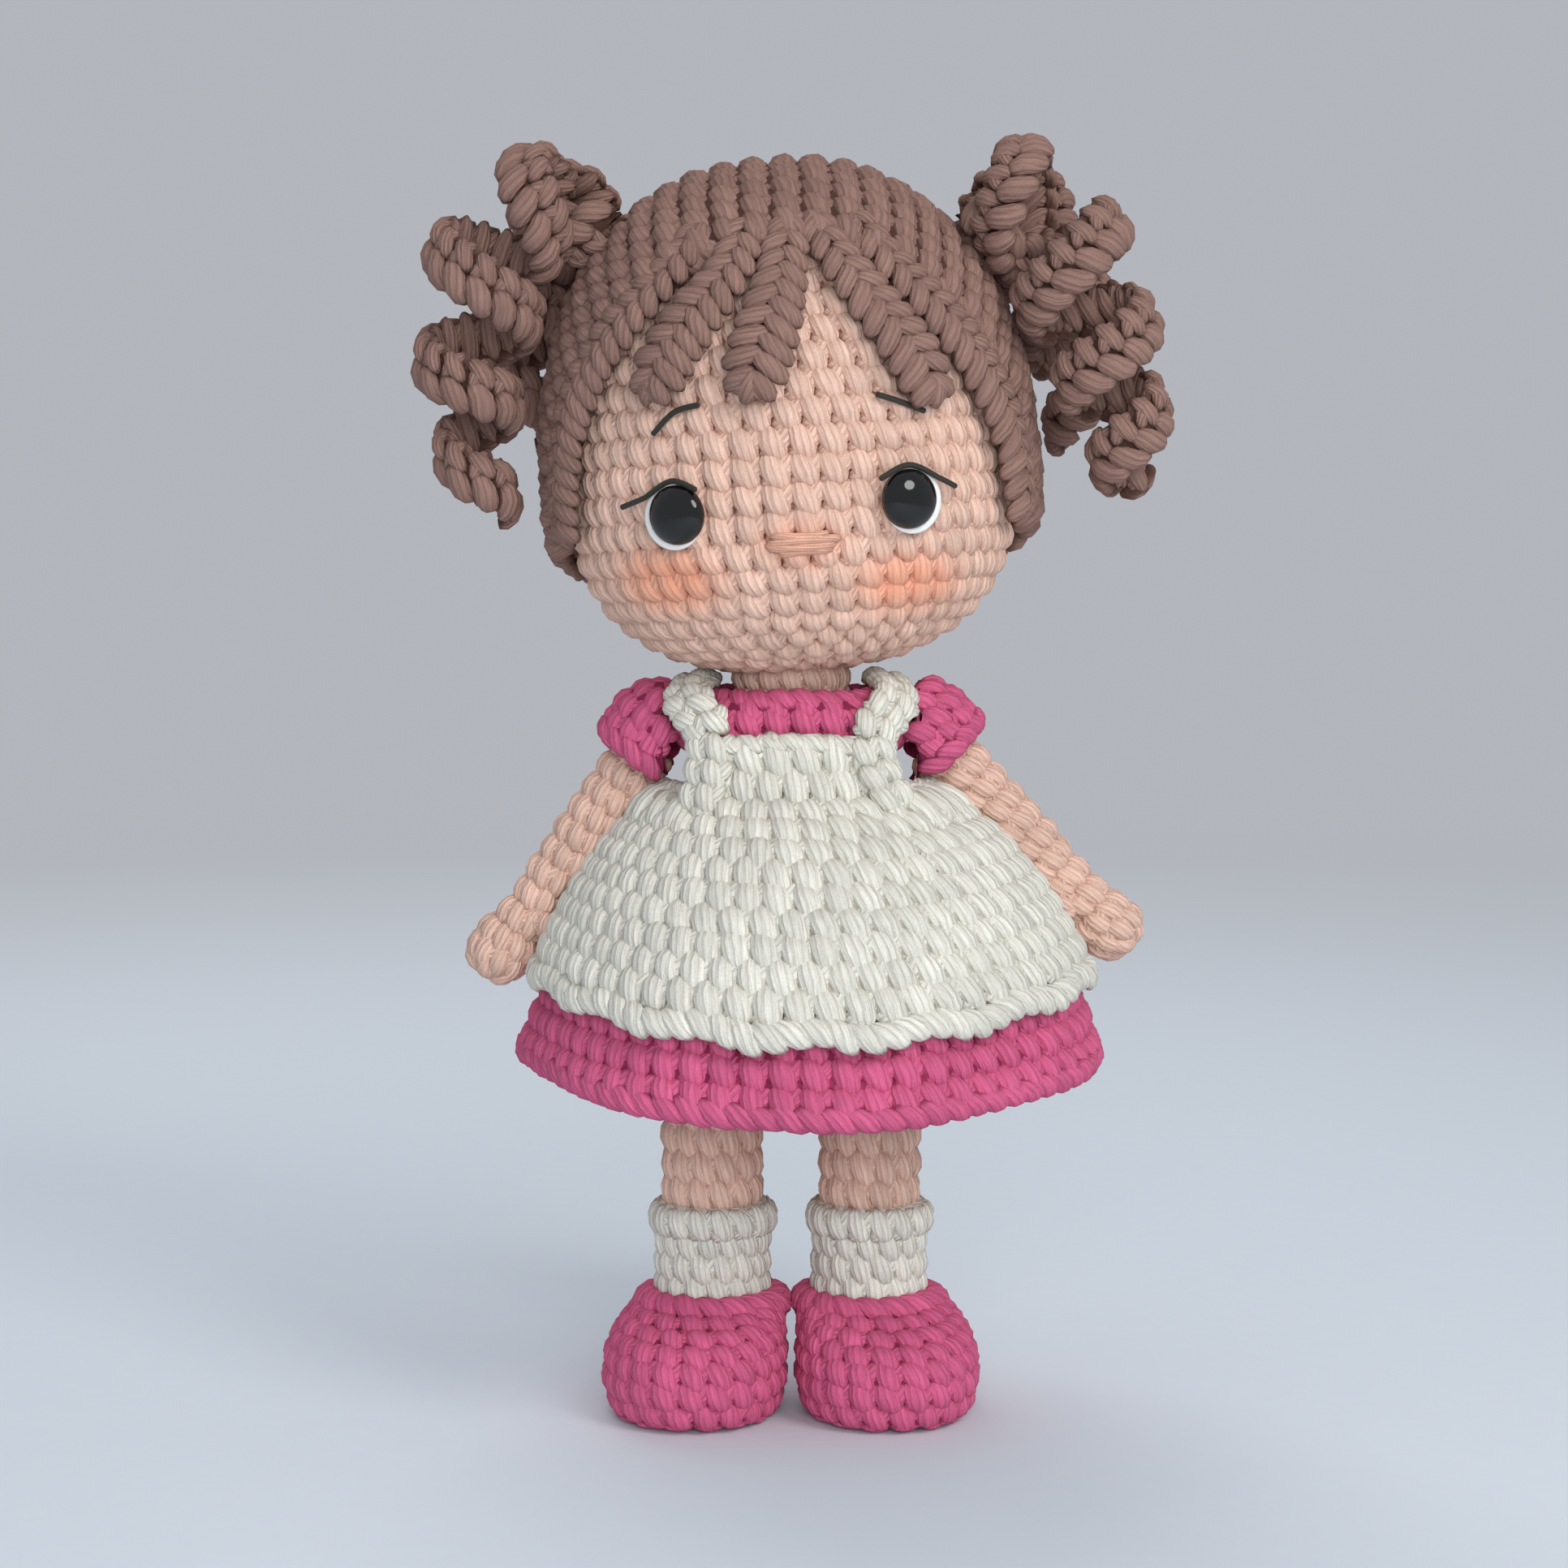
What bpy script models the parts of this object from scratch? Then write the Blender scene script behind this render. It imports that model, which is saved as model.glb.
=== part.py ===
# Crocheted doll with two bunches of spiral curls, a flared dress and an apron.
# Metres, +Z up. The doll stands on its soles at z = 0 and looks along -Y, so its left side is +X.
import bpy
import math
from mathutils import Matrix, Vector

# General
CLEARANCE = 0.0003          # gap between pieces that touch
OVERRUN = 0.004             # how far a cutter runs past what it cuts
MERGE = 0.00001             # merge distance on turned shapes

# Heights, each from the one below it
WAIST_Z = 0.0895
CHEST_HEIGHT = 0.0127       # waist to neckline
NECK_LENGTH = 0.0063        # neckline to the top of the neck
NECK_TO_HEAD = 0.0218       # top of the neck to the head's centre
HEAD_TO_BUNCH = 0.0387      # head's centre to the pivots of the bunches
ARM_DROP = 0.0054           # neckline to the arm's pivot
BIB_DROP = 0.0065           # neckline to the top of the bib
SUPPORT_DEPTH = 0.0038      # the dowel's end below the neckline
SUPPORT_REACH = 0.0175      # the dowel's end above the neck
NECKLINE_Z = WAIST_Z + CHEST_HEIGHT
NECK_TOP_Z = NECKLINE_Z + NECK_LENGTH
HEAD_CENTRE_Z = NECK_TOP_Z + NECK_TO_HEAD
BUNCH_PIVOT_Z = HEAD_CENTRE_Z + HEAD_TO_BUNCH
SHOULDER_Z = NECKLINE_Z - ARM_DROP
BIB_TOP_Z = NECKLINE_Z - BIB_DROP
SUPPORT_BOTTOM_Z = NECKLINE_Z - SUPPORT_DEPTH
SUPPORT_TOP_Z = NECK_TOP_Z + SUPPORT_REACH

# Head ball, in skin yarn
HEAD_RADIUS = 0.0314
HEAD_TOP = 0.0420           # centre to crown
HEAD_DROP = 0.0258          # centre to chin
HEAD_ROLL_DEG = 4.0         # the head leans to the doll's right shoulder
CROWN_POWER_SHARE = 2.3     # fullness of the upper half, 2 is an ellipse
CHIN_POWER_SHARE = 2.5
HEAD_ROWS = 18
HEAD_COLUMNS = 32

# Cap of hair
CAP_THICKNESS = 0.0037
CAP_FACE_LEAN_DEG = 29.0    # lean of the front rim
CAP_FACE_SHARE = 0.22       # place of the front rim ahead of the centre, of the head radius
CAP_NAPE_SHARE = 0.25       # height of the lower rim below the centre, of the head drop
CAP_NAPE_LEAN_DEG = 14.0    # the lower rim falls towards the back

# Fringe strips
STRAND_WIDTH = 0.0074
STRAND_THICKNESS = 0.0034

# Curls
CURL_BAND = 0.0070          # height of the crocheted band
CURL_THICKNESS = 0.0034
CURL_RADIUS = 0.0080        # middle of the band at the widest turn
CURL_STEPS_PER_TURN = 9
CURL_LEAST_GAP = 0.0004
CURL_TIP_SHARE = 0.55
BUNCH_PIVOT_X = 0.0255

# Face
EYE_RADIUS = 0.0040
EYE_DOME = 0.0029
EYE_STEM_RADIUS = 0.0015
EYE_STEM_LENGTH = 0.0100
EYE_SIDE_DEG = 27.8
EYE_HEIGHT_SHARE = -0.098   # of the head drop, from the centre
WASHER_RADIUS = 0.0050
WASHER_THICKNESS = 0.0012
WASHER_DEPTH = 0.0036
WHITE_RADIUS = 0.0047
WHITE_THICKNESS = 0.0005
WHITE_SHIFT = 0.0009        # the felt shows past the eye at the outer lower side
THREAD_RADIUS = 0.0004
NOSE_WIDTH = 0.0088
NOSE_HEIGHT = 0.0036
NOSE_DEPTH = 0.0016
NOSE_DROP_SHARE = -0.29

# Neck and body
NECK_RADIUS = 0.0086
SOCKET_TOP_GAP = 0.0006
SUPPORT_RADIUS = 0.0030
BODY_WIDE_RADIUS = 0.0185   # at the hips
BODY_BOTTOM_Z = 0.0560

# Dress
FABRIC = 0.0029             # thickness of the pink crochet
SHOULDER_HALF = 0.0176      # centre plane to the armhole
WAIST_RADIUS = 0.0126
HEM_RADIUS = 0.0415
HEM_Z = 0.0507
HEM_DROOP = 0.0036          # the hem hangs lower at the front and the back
HEM_WAVE = 0.0006
HEM_FOLDS = 7
SKIRT_SWAY = 0.0030         # the hem swings to the doll's left
CHEST_DEPTH_SHARE = 0.80    # depth of the chest against its width
ARMHOLE_FLAT = 0.0006       # the bodice is flat where the sleeves meet it

# Apron
APRON_THICKNESS = 0.0024
BIB_HALF_DEG = 40.5
BIB_FADE_DEG = 9.0
APRON_SIDE_DEG = 85.5
APRON_COLUMNS = 19
DRESS_COLUMNS = 40
APRON_EASE = 0.0005         # slack between the apron and the dress
APRON_BAND_TOP_Z = 0.0849
APRON_BAND_BOTTOM_Z = 0.0812
APRON_FRONT_Z = 0.0605
APRON_SIDE_RISE = 0.0042
EDGE_RADIUS = 0.0017
EDGE_SCALLOPS = 16
EDGE_WAVE = 0.0007
STRAP_WIDTH = 0.0060
STRAP_THICKNESS = 0.0022
BUTTON_RADIUS = 0.0034
BUTTON_THICKNESS = 0.0018

# Arms and sleeves
ARM_RADIUS = 0.0050
WRIST_RADIUS = 0.0038
HAND_RADIUS = 0.0054
ARM_LENGTH = 0.0445
LEFT_ARM_TILT_DEG = 44.0
RIGHT_ARM_TILT_DEG = 36.5
THUMB_RADIUS = 0.0027
SWING_STEP_DEG = 15.0       # the arm clears the dress at each step of its swing
SWING_STEPS = 2
SLEEVE_RADIUS = 0.0084
SLEEVE_LENGTH = 0.0056
SLEEVE_EASE = 0.0012        # room round the arm at the sleeve's rim
CORD_RADIUS = 0.0008        # thread through the shoulders
CORD_REACH = 0.0030

# Legs, socks and shoes
LEG_SPACING = 0.0112        # centre plane to the leg's middle
FOOT_SPACING = 0.0136
LEG_RADIUS = 0.0072
ANKLE_RADIUS = 0.0062
SOCK_WALL = 0.0019
CUFF_ROLL = 0.0007
SOCK_TOP_Z = 0.0285
CUFF_HEIGHT = 0.0034
SHOE_WIDTH = 0.0264
SHOE_LENGTH = 0.0340
SHOE_HEIGHT = 0.0160
SHOE_FORWARD = 0.0050       # middle of the shoe ahead of the ankle
SHOE_FLOOR = 0.0070
SHOE_RIM = 0.0022

HAIR = (0.30, 0.185, 0.150)
SKIN = (0.80, 0.52, 0.38)
PINK = (0.55, 0.095, 0.21)
CREAM = (0.82, 0.79, 0.70)
BLACK = (0.01, 0.01, 0.012)
LASH = (0.05, 0.045, 0.035)
FELT = (0.85, 0.84, 0.82)
WOOD = (0.60, 0.42, 0.25)

TURN = 2.0 * math.pi


def clear_scene():
    for item in list(bpy.data.objects):
        bpy.data.objects.remove(item)
    for group in list(bpy.data.collections):
        bpy.data.collections.remove(group)


clear_scene()
doll = bpy.data.collections.new("crochet_doll")
tools = bpy.data.collections.new("cutters")
bpy.context.scene.collection.children.link(doll)
bpy.context.scene.collection.children.link(tools)


def finish(name, colour, roughness=0.9):
    material = bpy.data.materials.new(name)
    material.use_nodes = True
    shader = material.node_tree.nodes["Principled BSDF"]
    shader.inputs["Base Color"].default_value = (*colour, 1.0)
    shader.inputs["Roughness"].default_value = roughness
    shader.inputs["Metallic"].default_value = 0.0
    return material


def empty(name, place, parent=None, turn=(0.0, 0.0, 0.0)):
    holder = bpy.data.objects.new(name, None)
    holder.location = place
    holder.rotation_euler = turn
    holder.parent = parent
    doll.objects.link(holder)
    return holder


def add(name, mesh, colour, parent=None, roughness=0.9):
    item = bpy.data.objects.new(name, mesh)
    mesh.materials.append(finish(name + "_finish", colour, roughness))
    item.parent = parent
    doll.objects.link(item)
    mesh.shade_smooth()
    return item


def as_cutter(item):
    for group in item.users_collection:
        group.objects.unlink(item)
    tools.objects.link(item)
    item.hide_render = True
    item.display_type = "WIRE"
    return item


def cut(item, cutter, operation="DIFFERENCE"):
    step = item.modifiers.new("cut_" + cutter.name, "BOOLEAN")
    step.operation = operation
    step.solver = "EXACT"
    step.object = cutter
    return step


def mesh_from(name, points, faces):
    mesh = bpy.data.meshes.new(name)
    mesh.from_pydata([tuple(point) for point in points], [], faces)
    mesh.update()
    return mesh


def turned(name, profile, segments):
    """A profile of (radius, height), from its top down the outer side, turned about Z.

    A profile that comes back to its first point makes a ring.
    """
    looped = profile[0] == profile[-1]
    corners = profile[:-1] if looped else profile
    mesh = mesh_from(name, [(radius, 0.0, height) for radius, height in corners], [])
    mesh.edges.add(len(profile) - 1)
    for index in range(len(profile) - 1):
        mesh.edges[index].vertices = (index, (index + 1) % len(corners))
    item = bpy.data.objects.new(name, mesh)
    doll.objects.link(item)
    screw = item.modifiers.new("turn", "SCREW")
    screw.angle = TURN
    screw.steps = segments
    screw.render_steps = segments
    screw.use_merge_vertices = True
    screw.merge_threshold = MERGE
    screw.use_smooth_shade = True
    return item


def dress_up(item, colour, parent=None, roughness=0.9):
    item.data.materials.append(finish(item.name + "_finish", colour, roughness))
    item.parent = parent
    return item


def loft(name, rings, closed_loop=False):
    """A closed body through rings of points that all have one count; flat ends unless looped."""
    count = len(rings[0])
    points = [point for ring in rings for point in ring]
    faces = []
    spans = len(rings) if closed_loop else len(rings) - 1
    for row in range(spans):
        here = row * count
        there = ((row + 1) % len(rings)) * count
        for column in range(count):
            after = (column + 1) % count
            faces.append((here + column, here + after, there + after, there + column))
    if not closed_loop:
        faces.append(tuple(reversed(range(count))))
        last = (len(rings) - 1) * count
        faces.append(tuple(last + column for column in range(count)))
    mesh = mesh_from(name, points, faces)
    if volume(mesh) < 0.0:
        mesh.flip_normals()
    return mesh


def volume(mesh):
    total = 0.0
    for face in mesh.polygons:
        corners = [mesh.vertices[index].co for index in face.vertices]
        for second, third in zip(corners[1:-1], corners[2:]):
            total += corners[0].dot(second.cross(third))
    return total


def smooth_path(knots, count):
    """Points at even steps of the parameter on a smooth curve through the knots."""
    path = []
    last = len(knots) - 1
    for index in range(count):
        place = last * index / (count - 1)
        start = min(int(place), last - 1)
        part = place - start
        before = knots[max(start - 1, 0)]
        here = knots[start]
        after = knots[start + 1]
        beyond = knots[min(start + 2, last)]
        path.append(tuple(
            0.5 * (2 * b + (c - a) * part + (2 * a - 5 * b + 4 * c - d) * part ** 2
                   + (3 * b - a - 3 * c + d) * part ** 3)
            for a, b, c, d in zip(before, here, after, beyond)))
    return path


def read_share(table, place):
    """The value at a place in a table of (place, value) shares, eased between its rows."""
    if place <= table[0][0]:
        return table[0][1]
    for (start, first), (end, second) in zip(table, table[1:]):
        if place <= end:
            return first + (second - first) * (place - start) / (end - start)
    return table[-1][1]


def band_rings(stations, corners):
    """Rounded sections, one for each (middle, side, outward, half width, half thickness)."""
    rings = []
    for middle, side, outward, half_width, half_thickness in stations:
        ring = []
        for corner in range(corners):
            angle = TURN * (corner + 0.5) / corners
            ring.append(middle + side * (half_width * math.cos(angle))
                        + outward * (half_thickness * math.sin(angle)))
        rings.append(ring)
    return rings


# Head


def head_radius_at(height, grow=0.0):
    reach = (HEAD_TOP if height >= 0.0 else HEAD_DROP) + grow
    power = CROWN_POWER_SHARE if height >= 0.0 else CHIN_POWER_SHARE
    share = min(abs(height) / reach, 1.0)
    return (HEAD_RADIUS + grow) * (1.0 - share ** power) ** (1.0 / power)


def head_profile(grow, rows):
    points = []
    for row in range(rows + 1):
        angle = math.pi * row / rows
        height = math.cos(angle) * ((HEAD_TOP if row * 2 <= rows else HEAD_DROP) + grow)
        points.append((0.0 if row in (0, rows) else head_radius_at(height, grow), height))
    return points


def on_head(side_deg, height_share, lift=0.0):
    """A place on the head, its outward direction, in the head's own axes."""
    height = height_share * (HEAD_TOP if height_share >= 0.0 else HEAD_DROP)
    angle = math.radians(side_deg)

    def at(turn, level):
        radius = head_radius_at(level)
        return Vector((radius * math.sin(turn), -radius * math.cos(turn), level))

    step = HEAD_RADIUS / 200.0
    along = at(angle + 0.01, height) - at(angle - 0.01, height)
    up = at(angle, height + step) - at(angle, height - step)
    outward = along.cross(up).normalized()
    return at(angle, height) + outward * lift, outward


def head_surface_path(knots, count, lift):
    return [on_head(side, share, lift) for side, share in smooth_path(knots, count)]


head_frame = empty("head_frame", (0.0, 0.0, HEAD_CENTRE_Z), None, (0.0, -math.radians(HEAD_ROLL_DEG), 0.0))
head = dress_up(turned("head", head_profile(0.0, HEAD_ROWS), HEAD_COLUMNS), SKIN, head_frame)


def head_cutter(name, grow):
    item = as_cutter(turned(name, head_profile(grow, HEAD_ROWS), HEAD_COLUMNS))
    item.parent = head_frame
    return item


skin_cutter = head_cutter("skin_cutter", CLEARANCE)


# Cap of hair: a shell on the ball, open at the face and the nape


def box(name, size, place, turn, parent):
    bpy.ops.mesh.primitive_cube_add(size=1.0)
    item = bpy.context.object
    item.name = name
    item.data.transform(Matrix.Diagonal((*size, 1.0)))
    item.location = place
    item.rotation_euler = turn
    item.parent = parent
    return as_cutter(item)


def face_box(name, inset, forward):
    """A block on one side of the front rim's plane, moved back from it by the inset."""
    lean = math.radians(CAP_FACE_LEAN_DEG)
    side = 4.0 * (HEAD_TOP + OVERRUN)
    normal = Vector((0.0, -math.cos(lean), -math.sin(lean)))
    rim = Vector((0.0, -CAP_FACE_SHARE * HEAD_RADIUS, 0.0))
    sign = 1.0 if forward else -1.0
    centre = rim + normal * (sign * (inset + side / 2.0))
    return box(name, (side, side, side), centre, (lean, 0.0, 0.0), head_frame)


cap = dress_up(turned("hair_cap", head_profile(CLEARANCE + CAP_THICKNESS, HEAD_ROWS), HEAD_COLUMNS),
               HAIR, head_frame)
cut(cap, skin_cutter)
cut(cap, face_box("face_cutter", 0.0, True))
nape_depth = 2.0 * HEAD_DROP
nape_side = 4.0 * (HEAD_RADIUS + OVERRUN)
nape_lean = math.radians(CAP_NAPE_LEAN_DEG)
nape_down = Vector((0.0, -math.sin(nape_lean), -math.cos(nape_lean))) * (nape_depth / 2.0)
cut(cap, box("nape_cutter", (nape_side, nape_side, nape_depth),
             Vector((0.0, 0.0, -CAP_NAPE_SHARE * HEAD_DROP)) + nape_down, (-nape_lean, 0.0, 0.0), head_frame))
cap_cutter = head_cutter("cap_cutter", CAP_THICKNESS + 2.0 * CLEARANCE)
behind_rim = face_box("behind_rim_cutter", -CLEARANCE, False)

# Fringe: (side in degrees, height share of the head) from the rim to the tip
STRANDS = {
    "side_lock_right": ((-25, 0.80), (-32, 0.68), (-42, 0.57), (-53, 0.44), (-62, 0.27), (-67, 0.07),
                        (-68, -0.18)),
    "fringe_right": ((-9, 0.80), (-13.5, 0.66), (-21.5, 0.55), (-28, 0.45), (-33.5, 0.315)),
    "fringe_middle": ((5, 0.80), (1.5, 0.66), (-2, 0.53), (-5.5, 0.41), (-8.5, 0.296)),
    "fringe_left": ((13, 0.80), (19, 0.66), (25.5, 0.53), (31, 0.42), (35, 0.33), (36.5, 0.245)),
    "side_lock_left": ((27, 0.80), (34, 0.66), (42.5, 0.54), (52.5, 0.38), (62, 0.19), (67, 0.02), (68, -0.22)),
}
STRAND_TAPER_SHARE = ((0.0, 0.56), (0.3, 0.80), (0.6, 1.0), (0.88, 1.0), (0.95, 0.88), (1.0, 0.52))


def strand(name, knots, count, corners=8):
    half = STRAND_THICKNESS / 2.0
    path = head_surface_path(knots, count, CLEARANCE + half)
    stations = []
    for index, (middle, outward) in enumerate(path):
        after = path[min(index + 1, count - 1)][0]
        before = path[max(index - 1, 0)][0]
        side = (after - before).normalized().cross(outward).normalized()
        width = STRAND_WIDTH * read_share(STRAND_TAPER_SHARE, index / (count - 1)) / 2.0
        thick = half * (1.0 if index < count - 1 else STRAND_TAPER_SHARE[-1][1])
        stations.append((middle, side, outward, width, thick))
    item = add(name, loft(name, band_rings(stations, corners)), HAIR, head_frame)
    cut(item, skin_cutter)
    cut(item, behind_rim)
    return item


for strand_name, strand_knots in STRANDS.items():
    strand(strand_name, strand_knots, 9 if strand_name.startswith("fringe") else 13)


# Eyes, with the stem and lock washer that hold each in the head


def along(outward):
    return outward.to_track_quat("Z", "Y").to_euler()


def place_on_head(item, side_deg, height_share, lift):
    spot, outward = on_head(side_deg, height_share, lift)
    item.location = spot
    item.rotation_euler = along(outward)
    item.parent = head_frame


def disc_profile(radius, low, high):
    return [(0.0, high), (radius, high), (radius, low), (0.0, low)]


def eye(side, sign):
    side_deg = sign * EYE_SIDE_DEG
    seat = WHITE_THICKNESS + 2.0 * CLEARANCE
    base = EYE_DOME / 5.0
    profile = [(0.0, EYE_DOME)]
    for step in range(1, 6):
        angle = math.pi / 2.0 * step / 5
        profile.append((EYE_RADIUS * math.sin(angle), base + (EYE_DOME - base) * math.cos(angle)))
    profile += [(EYE_RADIUS, 0.0), (EYE_STEM_RADIUS, 0.0),
                (EYE_STEM_RADIUS, -EYE_STEM_LENGTH), (0.0, -EYE_STEM_LENGTH)]
    ball = dress_up(turned("eye_" + side, profile, 20), BLACK, None, 0.08)
    place_on_head(ball, side_deg, EYE_HEIGHT_SHARE, seat)

    stem = as_cutter(turned("stem_cutter_" + side, disc_profile(
        EYE_STEM_RADIUS + CLEARANCE, -EYE_STEM_LENGTH - CLEARANCE, OVERRUN), 12))
    place_on_head(stem, side_deg, EYE_HEIGHT_SHARE, seat)
    narrow = EYE_STEM_RADIUS + CLEARANCE
    wide = WASHER_RADIUS + CLEARANCE
    roof = CLEARANCE - WASHER_DEPTH
    floor = -WASHER_DEPTH - WASHER_THICKNESS - CLEARANCE
    end = -EYE_STEM_LENGTH - CLEARANCE
    pocket = as_cutter(turned("pocket_cutter_" + side, [
        (0.0, OVERRUN), (narrow, OVERRUN), (narrow, roof), (wide, roof), (wide, floor), (narrow, floor),
        (narrow, end), (0.0, end)], 14))
    place_on_head(pocket, side_deg, EYE_HEIGHT_SHARE, seat)
    cut(head, pocket)

    washer = dress_up(turned("eye_washer_" + side, disc_profile(
        WASHER_RADIUS, -WASHER_DEPTH - WASHER_THICKNESS, -WASHER_DEPTH), 16), FELT, None, 0.5)
    place_on_head(washer, side_deg, EYE_HEIGHT_SHARE, seat)
    cut(washer, stem)

    white = dress_up(turned("eye_white_" + side, disc_profile(
        WHITE_RADIUS, CLEARANCE, CLEARANCE + WHITE_THICKNESS), 20), FELT)
    place_on_head(white, side_deg, EYE_HEIGHT_SHARE, 0.0)
    shift = Vector((sign * WHITE_SHIFT / 2.0, 0.0, -WHITE_SHIFT / 2.0))
    white.location += shift
    cut(white, stem)


def thread_on_head(name, knots, count, lift, corners=6):
    path = head_surface_path(knots, count, lift)
    stations = []
    for index, (middle, outward) in enumerate(path):
        after = path[min(index + 1, count - 1)][0]
        before = path[max(index - 1, 0)][0]
        side = (after - before).normalized().cross(outward).normalized()
        stations.append((middle, side, outward, THREAD_RADIUS, THREAD_RADIUS))
    return add(name, loft(name, band_rings(stations, corners)), LASH, head_frame)


eye("left", 1.0)
eye("right", -1.0)
lash_lift = WHITE_THICKNESS + 3.0 * CLEARANCE + THREAD_RADIUS
brow_lift = CLEARANCE + THREAD_RADIUS
LASHES = {
    "lash_left": ((20.0, 0.016), (28.3, 0.058), (34.6, 0.012), (41.2, -0.054)),
    "lash_right": ((-22.0, 0.026), (-28.6, 0.058), (-37.3, 0.0), (-43.4, -0.038)),
}
BROWS = {
    "brow_left": ((22.2, 0.270), (27.9, 0.245), (35.2, 0.208)),
    "brow_right": ((-21.1, 0.275), (-27.9, 0.258), (-34.1, 0.194)),
}
for thread_name, thread_knots in LASHES.items():
    thread_on_head(thread_name, thread_knots, 9, lash_lift)
for thread_name, thread_knots in BROWS.items():
    thread_on_head(thread_name, thread_knots, 7, brow_lift)

bpy.ops.mesh.primitive_uv_sphere_add(segments=16, ring_count=10, radius=1.0)
nose = bpy.context.object
nose.name = "nose"
nose.data.transform(Matrix.Diagonal((NOSE_WIDTH / 2.0, NOSE_HEIGHT / 2.0, NOSE_DEPTH, 1.0)))
for group in list(nose.users_collection):
    group.objects.unlink(nose)
doll.objects.link(nose)
nose.data.shade_smooth()
dress_up(nose, SKIN)
place_on_head(nose, 1.8, NOSE_DROP_SHARE, 0.0)
cut(nose, skin_cutter)


# Curls: a band wound round an axis that bends, one unbroken strip each


def curl_rings(axis_knots, radii_shares, turns, start_deg, hand, corners=8):
    count = int(turns * CURL_STEPS_PER_TURN) + 1
    axis = [Vector(point) for point in smooth_path(axis_knots, count)]
    stations = []
    across = None
    for index, centre in enumerate(axis):
        share = index / (count - 1)
        ahead = (axis[min(index + 1, count - 1)] - axis[max(index - 1, 0)]).normalized()
        if across is None:
            across = ahead.orthogonal()
        across = (across - ahead * across.dot(ahead)).normalized()
        other = ahead.cross(across)
        angle = math.radians(start_deg) + hand * TURN * turns * share
        outward = across * math.cos(angle) + other * math.sin(angle)
        tip = CURL_TIP_SHARE if index == count - 1 else 1.0
        middle = centre + outward * (CURL_RADIUS * read_share(radii_shares, share))
        stations.append((middle, ahead, outward, tip * CURL_BAND / 2.0, tip * CURL_THICKNESS / 2.0))
    return band_rings(stations, corners)


def least_self_gap(rings):
    apart = CURL_STEPS_PER_TURN // 2
    gap = None
    for index, ring in enumerate(rings):
        for other in rings[index + apart:]:
            for point in ring:
                nearest = min((point - place).length for place in other)
                gap = nearest if gap is None else min(gap, nearest)
    return gap


def bunch_holder(side, sign):
    return empty("bunch_pivot_" + side, (sign * BUNCH_PIVOT_X, 0.0, BUNCH_PIVOT_Z))


def curl(name, holder, axis_shares, radii_shares, turns, start_deg, hand):
    """The axis is in shares of the head radius, from the bunch's pivot."""
    knots = [tuple(value * HEAD_RADIUS for value in row) for row in axis_shares]
    rings = curl_rings(knots, radii_shares, turns, start_deg, hand)
    gap = least_self_gap(rings)
    print(name, "least gap to itself", round(gap * 1000.0, 2), "mm", "ok" if gap > CURL_LEAST_GAP else "tight")
    item = add(name, loft(name, rings), HAIR, holder)
    cut(item, cap_cutter)
    return item


bunch_left = bunch_holder("left", 1.0)
bunch_right = bunch_holder("right", -1.0)
CURLS = {
    "curl_right_front": (bunch_right, ((-0.02, -0.10, -0.10), (-0.30, -0.16, 0.00), (-0.50, -0.24, -0.24),
                                       (-0.58, -0.25, -0.62), (-0.58, -0.23, -0.96), (-0.54, -0.20, -1.30)),
                         ((0.0, 0.45), (0.2, 0.85), (0.5, 0.95), (0.75, 0.66), (1.0, 0.40)), 4.45, 90.0, -1.0),
    "curl_right_back": (bunch_right, ((-0.00, 0.34, -0.10), (-0.20, 0.44, -0.02), (-0.34, 0.50, -0.24),
                                      (-0.42, 0.47, -0.56), (-0.42, 0.46, -0.92)),
                        ((0.0, 0.45), (0.25, 0.85), (0.6, 0.80), (1.0, 0.45)), 3.6, 90.0, -1.0),
    "curl_left_front": (bunch_left, ((0.02, -0.06, -0.12), (0.22, -0.18, 0.00), (0.38, -0.32, -0.22),
                                     (0.52, -0.32, -0.56), (0.62, -0.30, -0.88), (0.70, -0.26, -1.18)),
                        ((0.0, 0.55), (0.2, 1.00), (0.5, 0.98), (0.75, 0.74), (1.0, 0.45)), 4.6, 90.0, 1.0),
    "curl_left_back": (bunch_left, ((0.00, 0.34, -0.10), (0.20, 0.44, -0.02), (0.36, 0.50, -0.26),
                                    (0.46, 0.47, -0.60), (0.52, 0.46, -0.96)),
                       ((0.0, 0.45), (0.25, 0.88), (0.6, 0.80), (1.0, 0.45)), 3.55, 90.0, 1.0),
}
for curl_name, (holder, axis, radii, turns, start, hand) in CURLS.items():
    curl(curl_name, holder, axis, radii, turns, start, hand)


# Dress surface: side in degrees from the front, place from 0 at the waist to 1 at the hem
# or down to -1 at the neckline

SKIRT_FLARE_SHARES = ((0.0, 0.0), (0.05, 0.08), (0.09, 0.17), (0.126, 0.273), (0.245, 0.443),
                      (0.43, 0.647), (0.657, 0.81), (0.863, 0.941), (1.0, 1.0))
SWAY_SHARES = ((0.0, 0.0), (0.245, 0.73), (0.43, 0.85), (0.66, 1.0), (1.0, 1.0))
BODICE_WIDTH_SHARES = ((0.0, 0.0), (0.28, 0.5), (0.5, 0.92), (0.62, 1.0), (0.75, 0.96), (0.87, 0.72),
                       (0.96, 0.20), (1.0, -0.22))
DEPTH_SHARES = ((0.0, 0.0), (0.28, 0.4), (0.5, 0.8), (0.62, 1.0), (0.75, 1.0), (0.87, 0.8), (0.96, 0.3),
                (1.0, 0.0))
SQUARE_POWER_SHARE = 3.0    # section of the chest; 2 is an ellipse


def section_point(angle, half_width, half_depth, power):
    east = math.sin(angle)
    south = math.cos(angle)
    reach = (abs(east / half_width) ** power + abs(south / half_depth) ** power) ** (-1.0 / power)
    return reach * east, -reach * south


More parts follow.
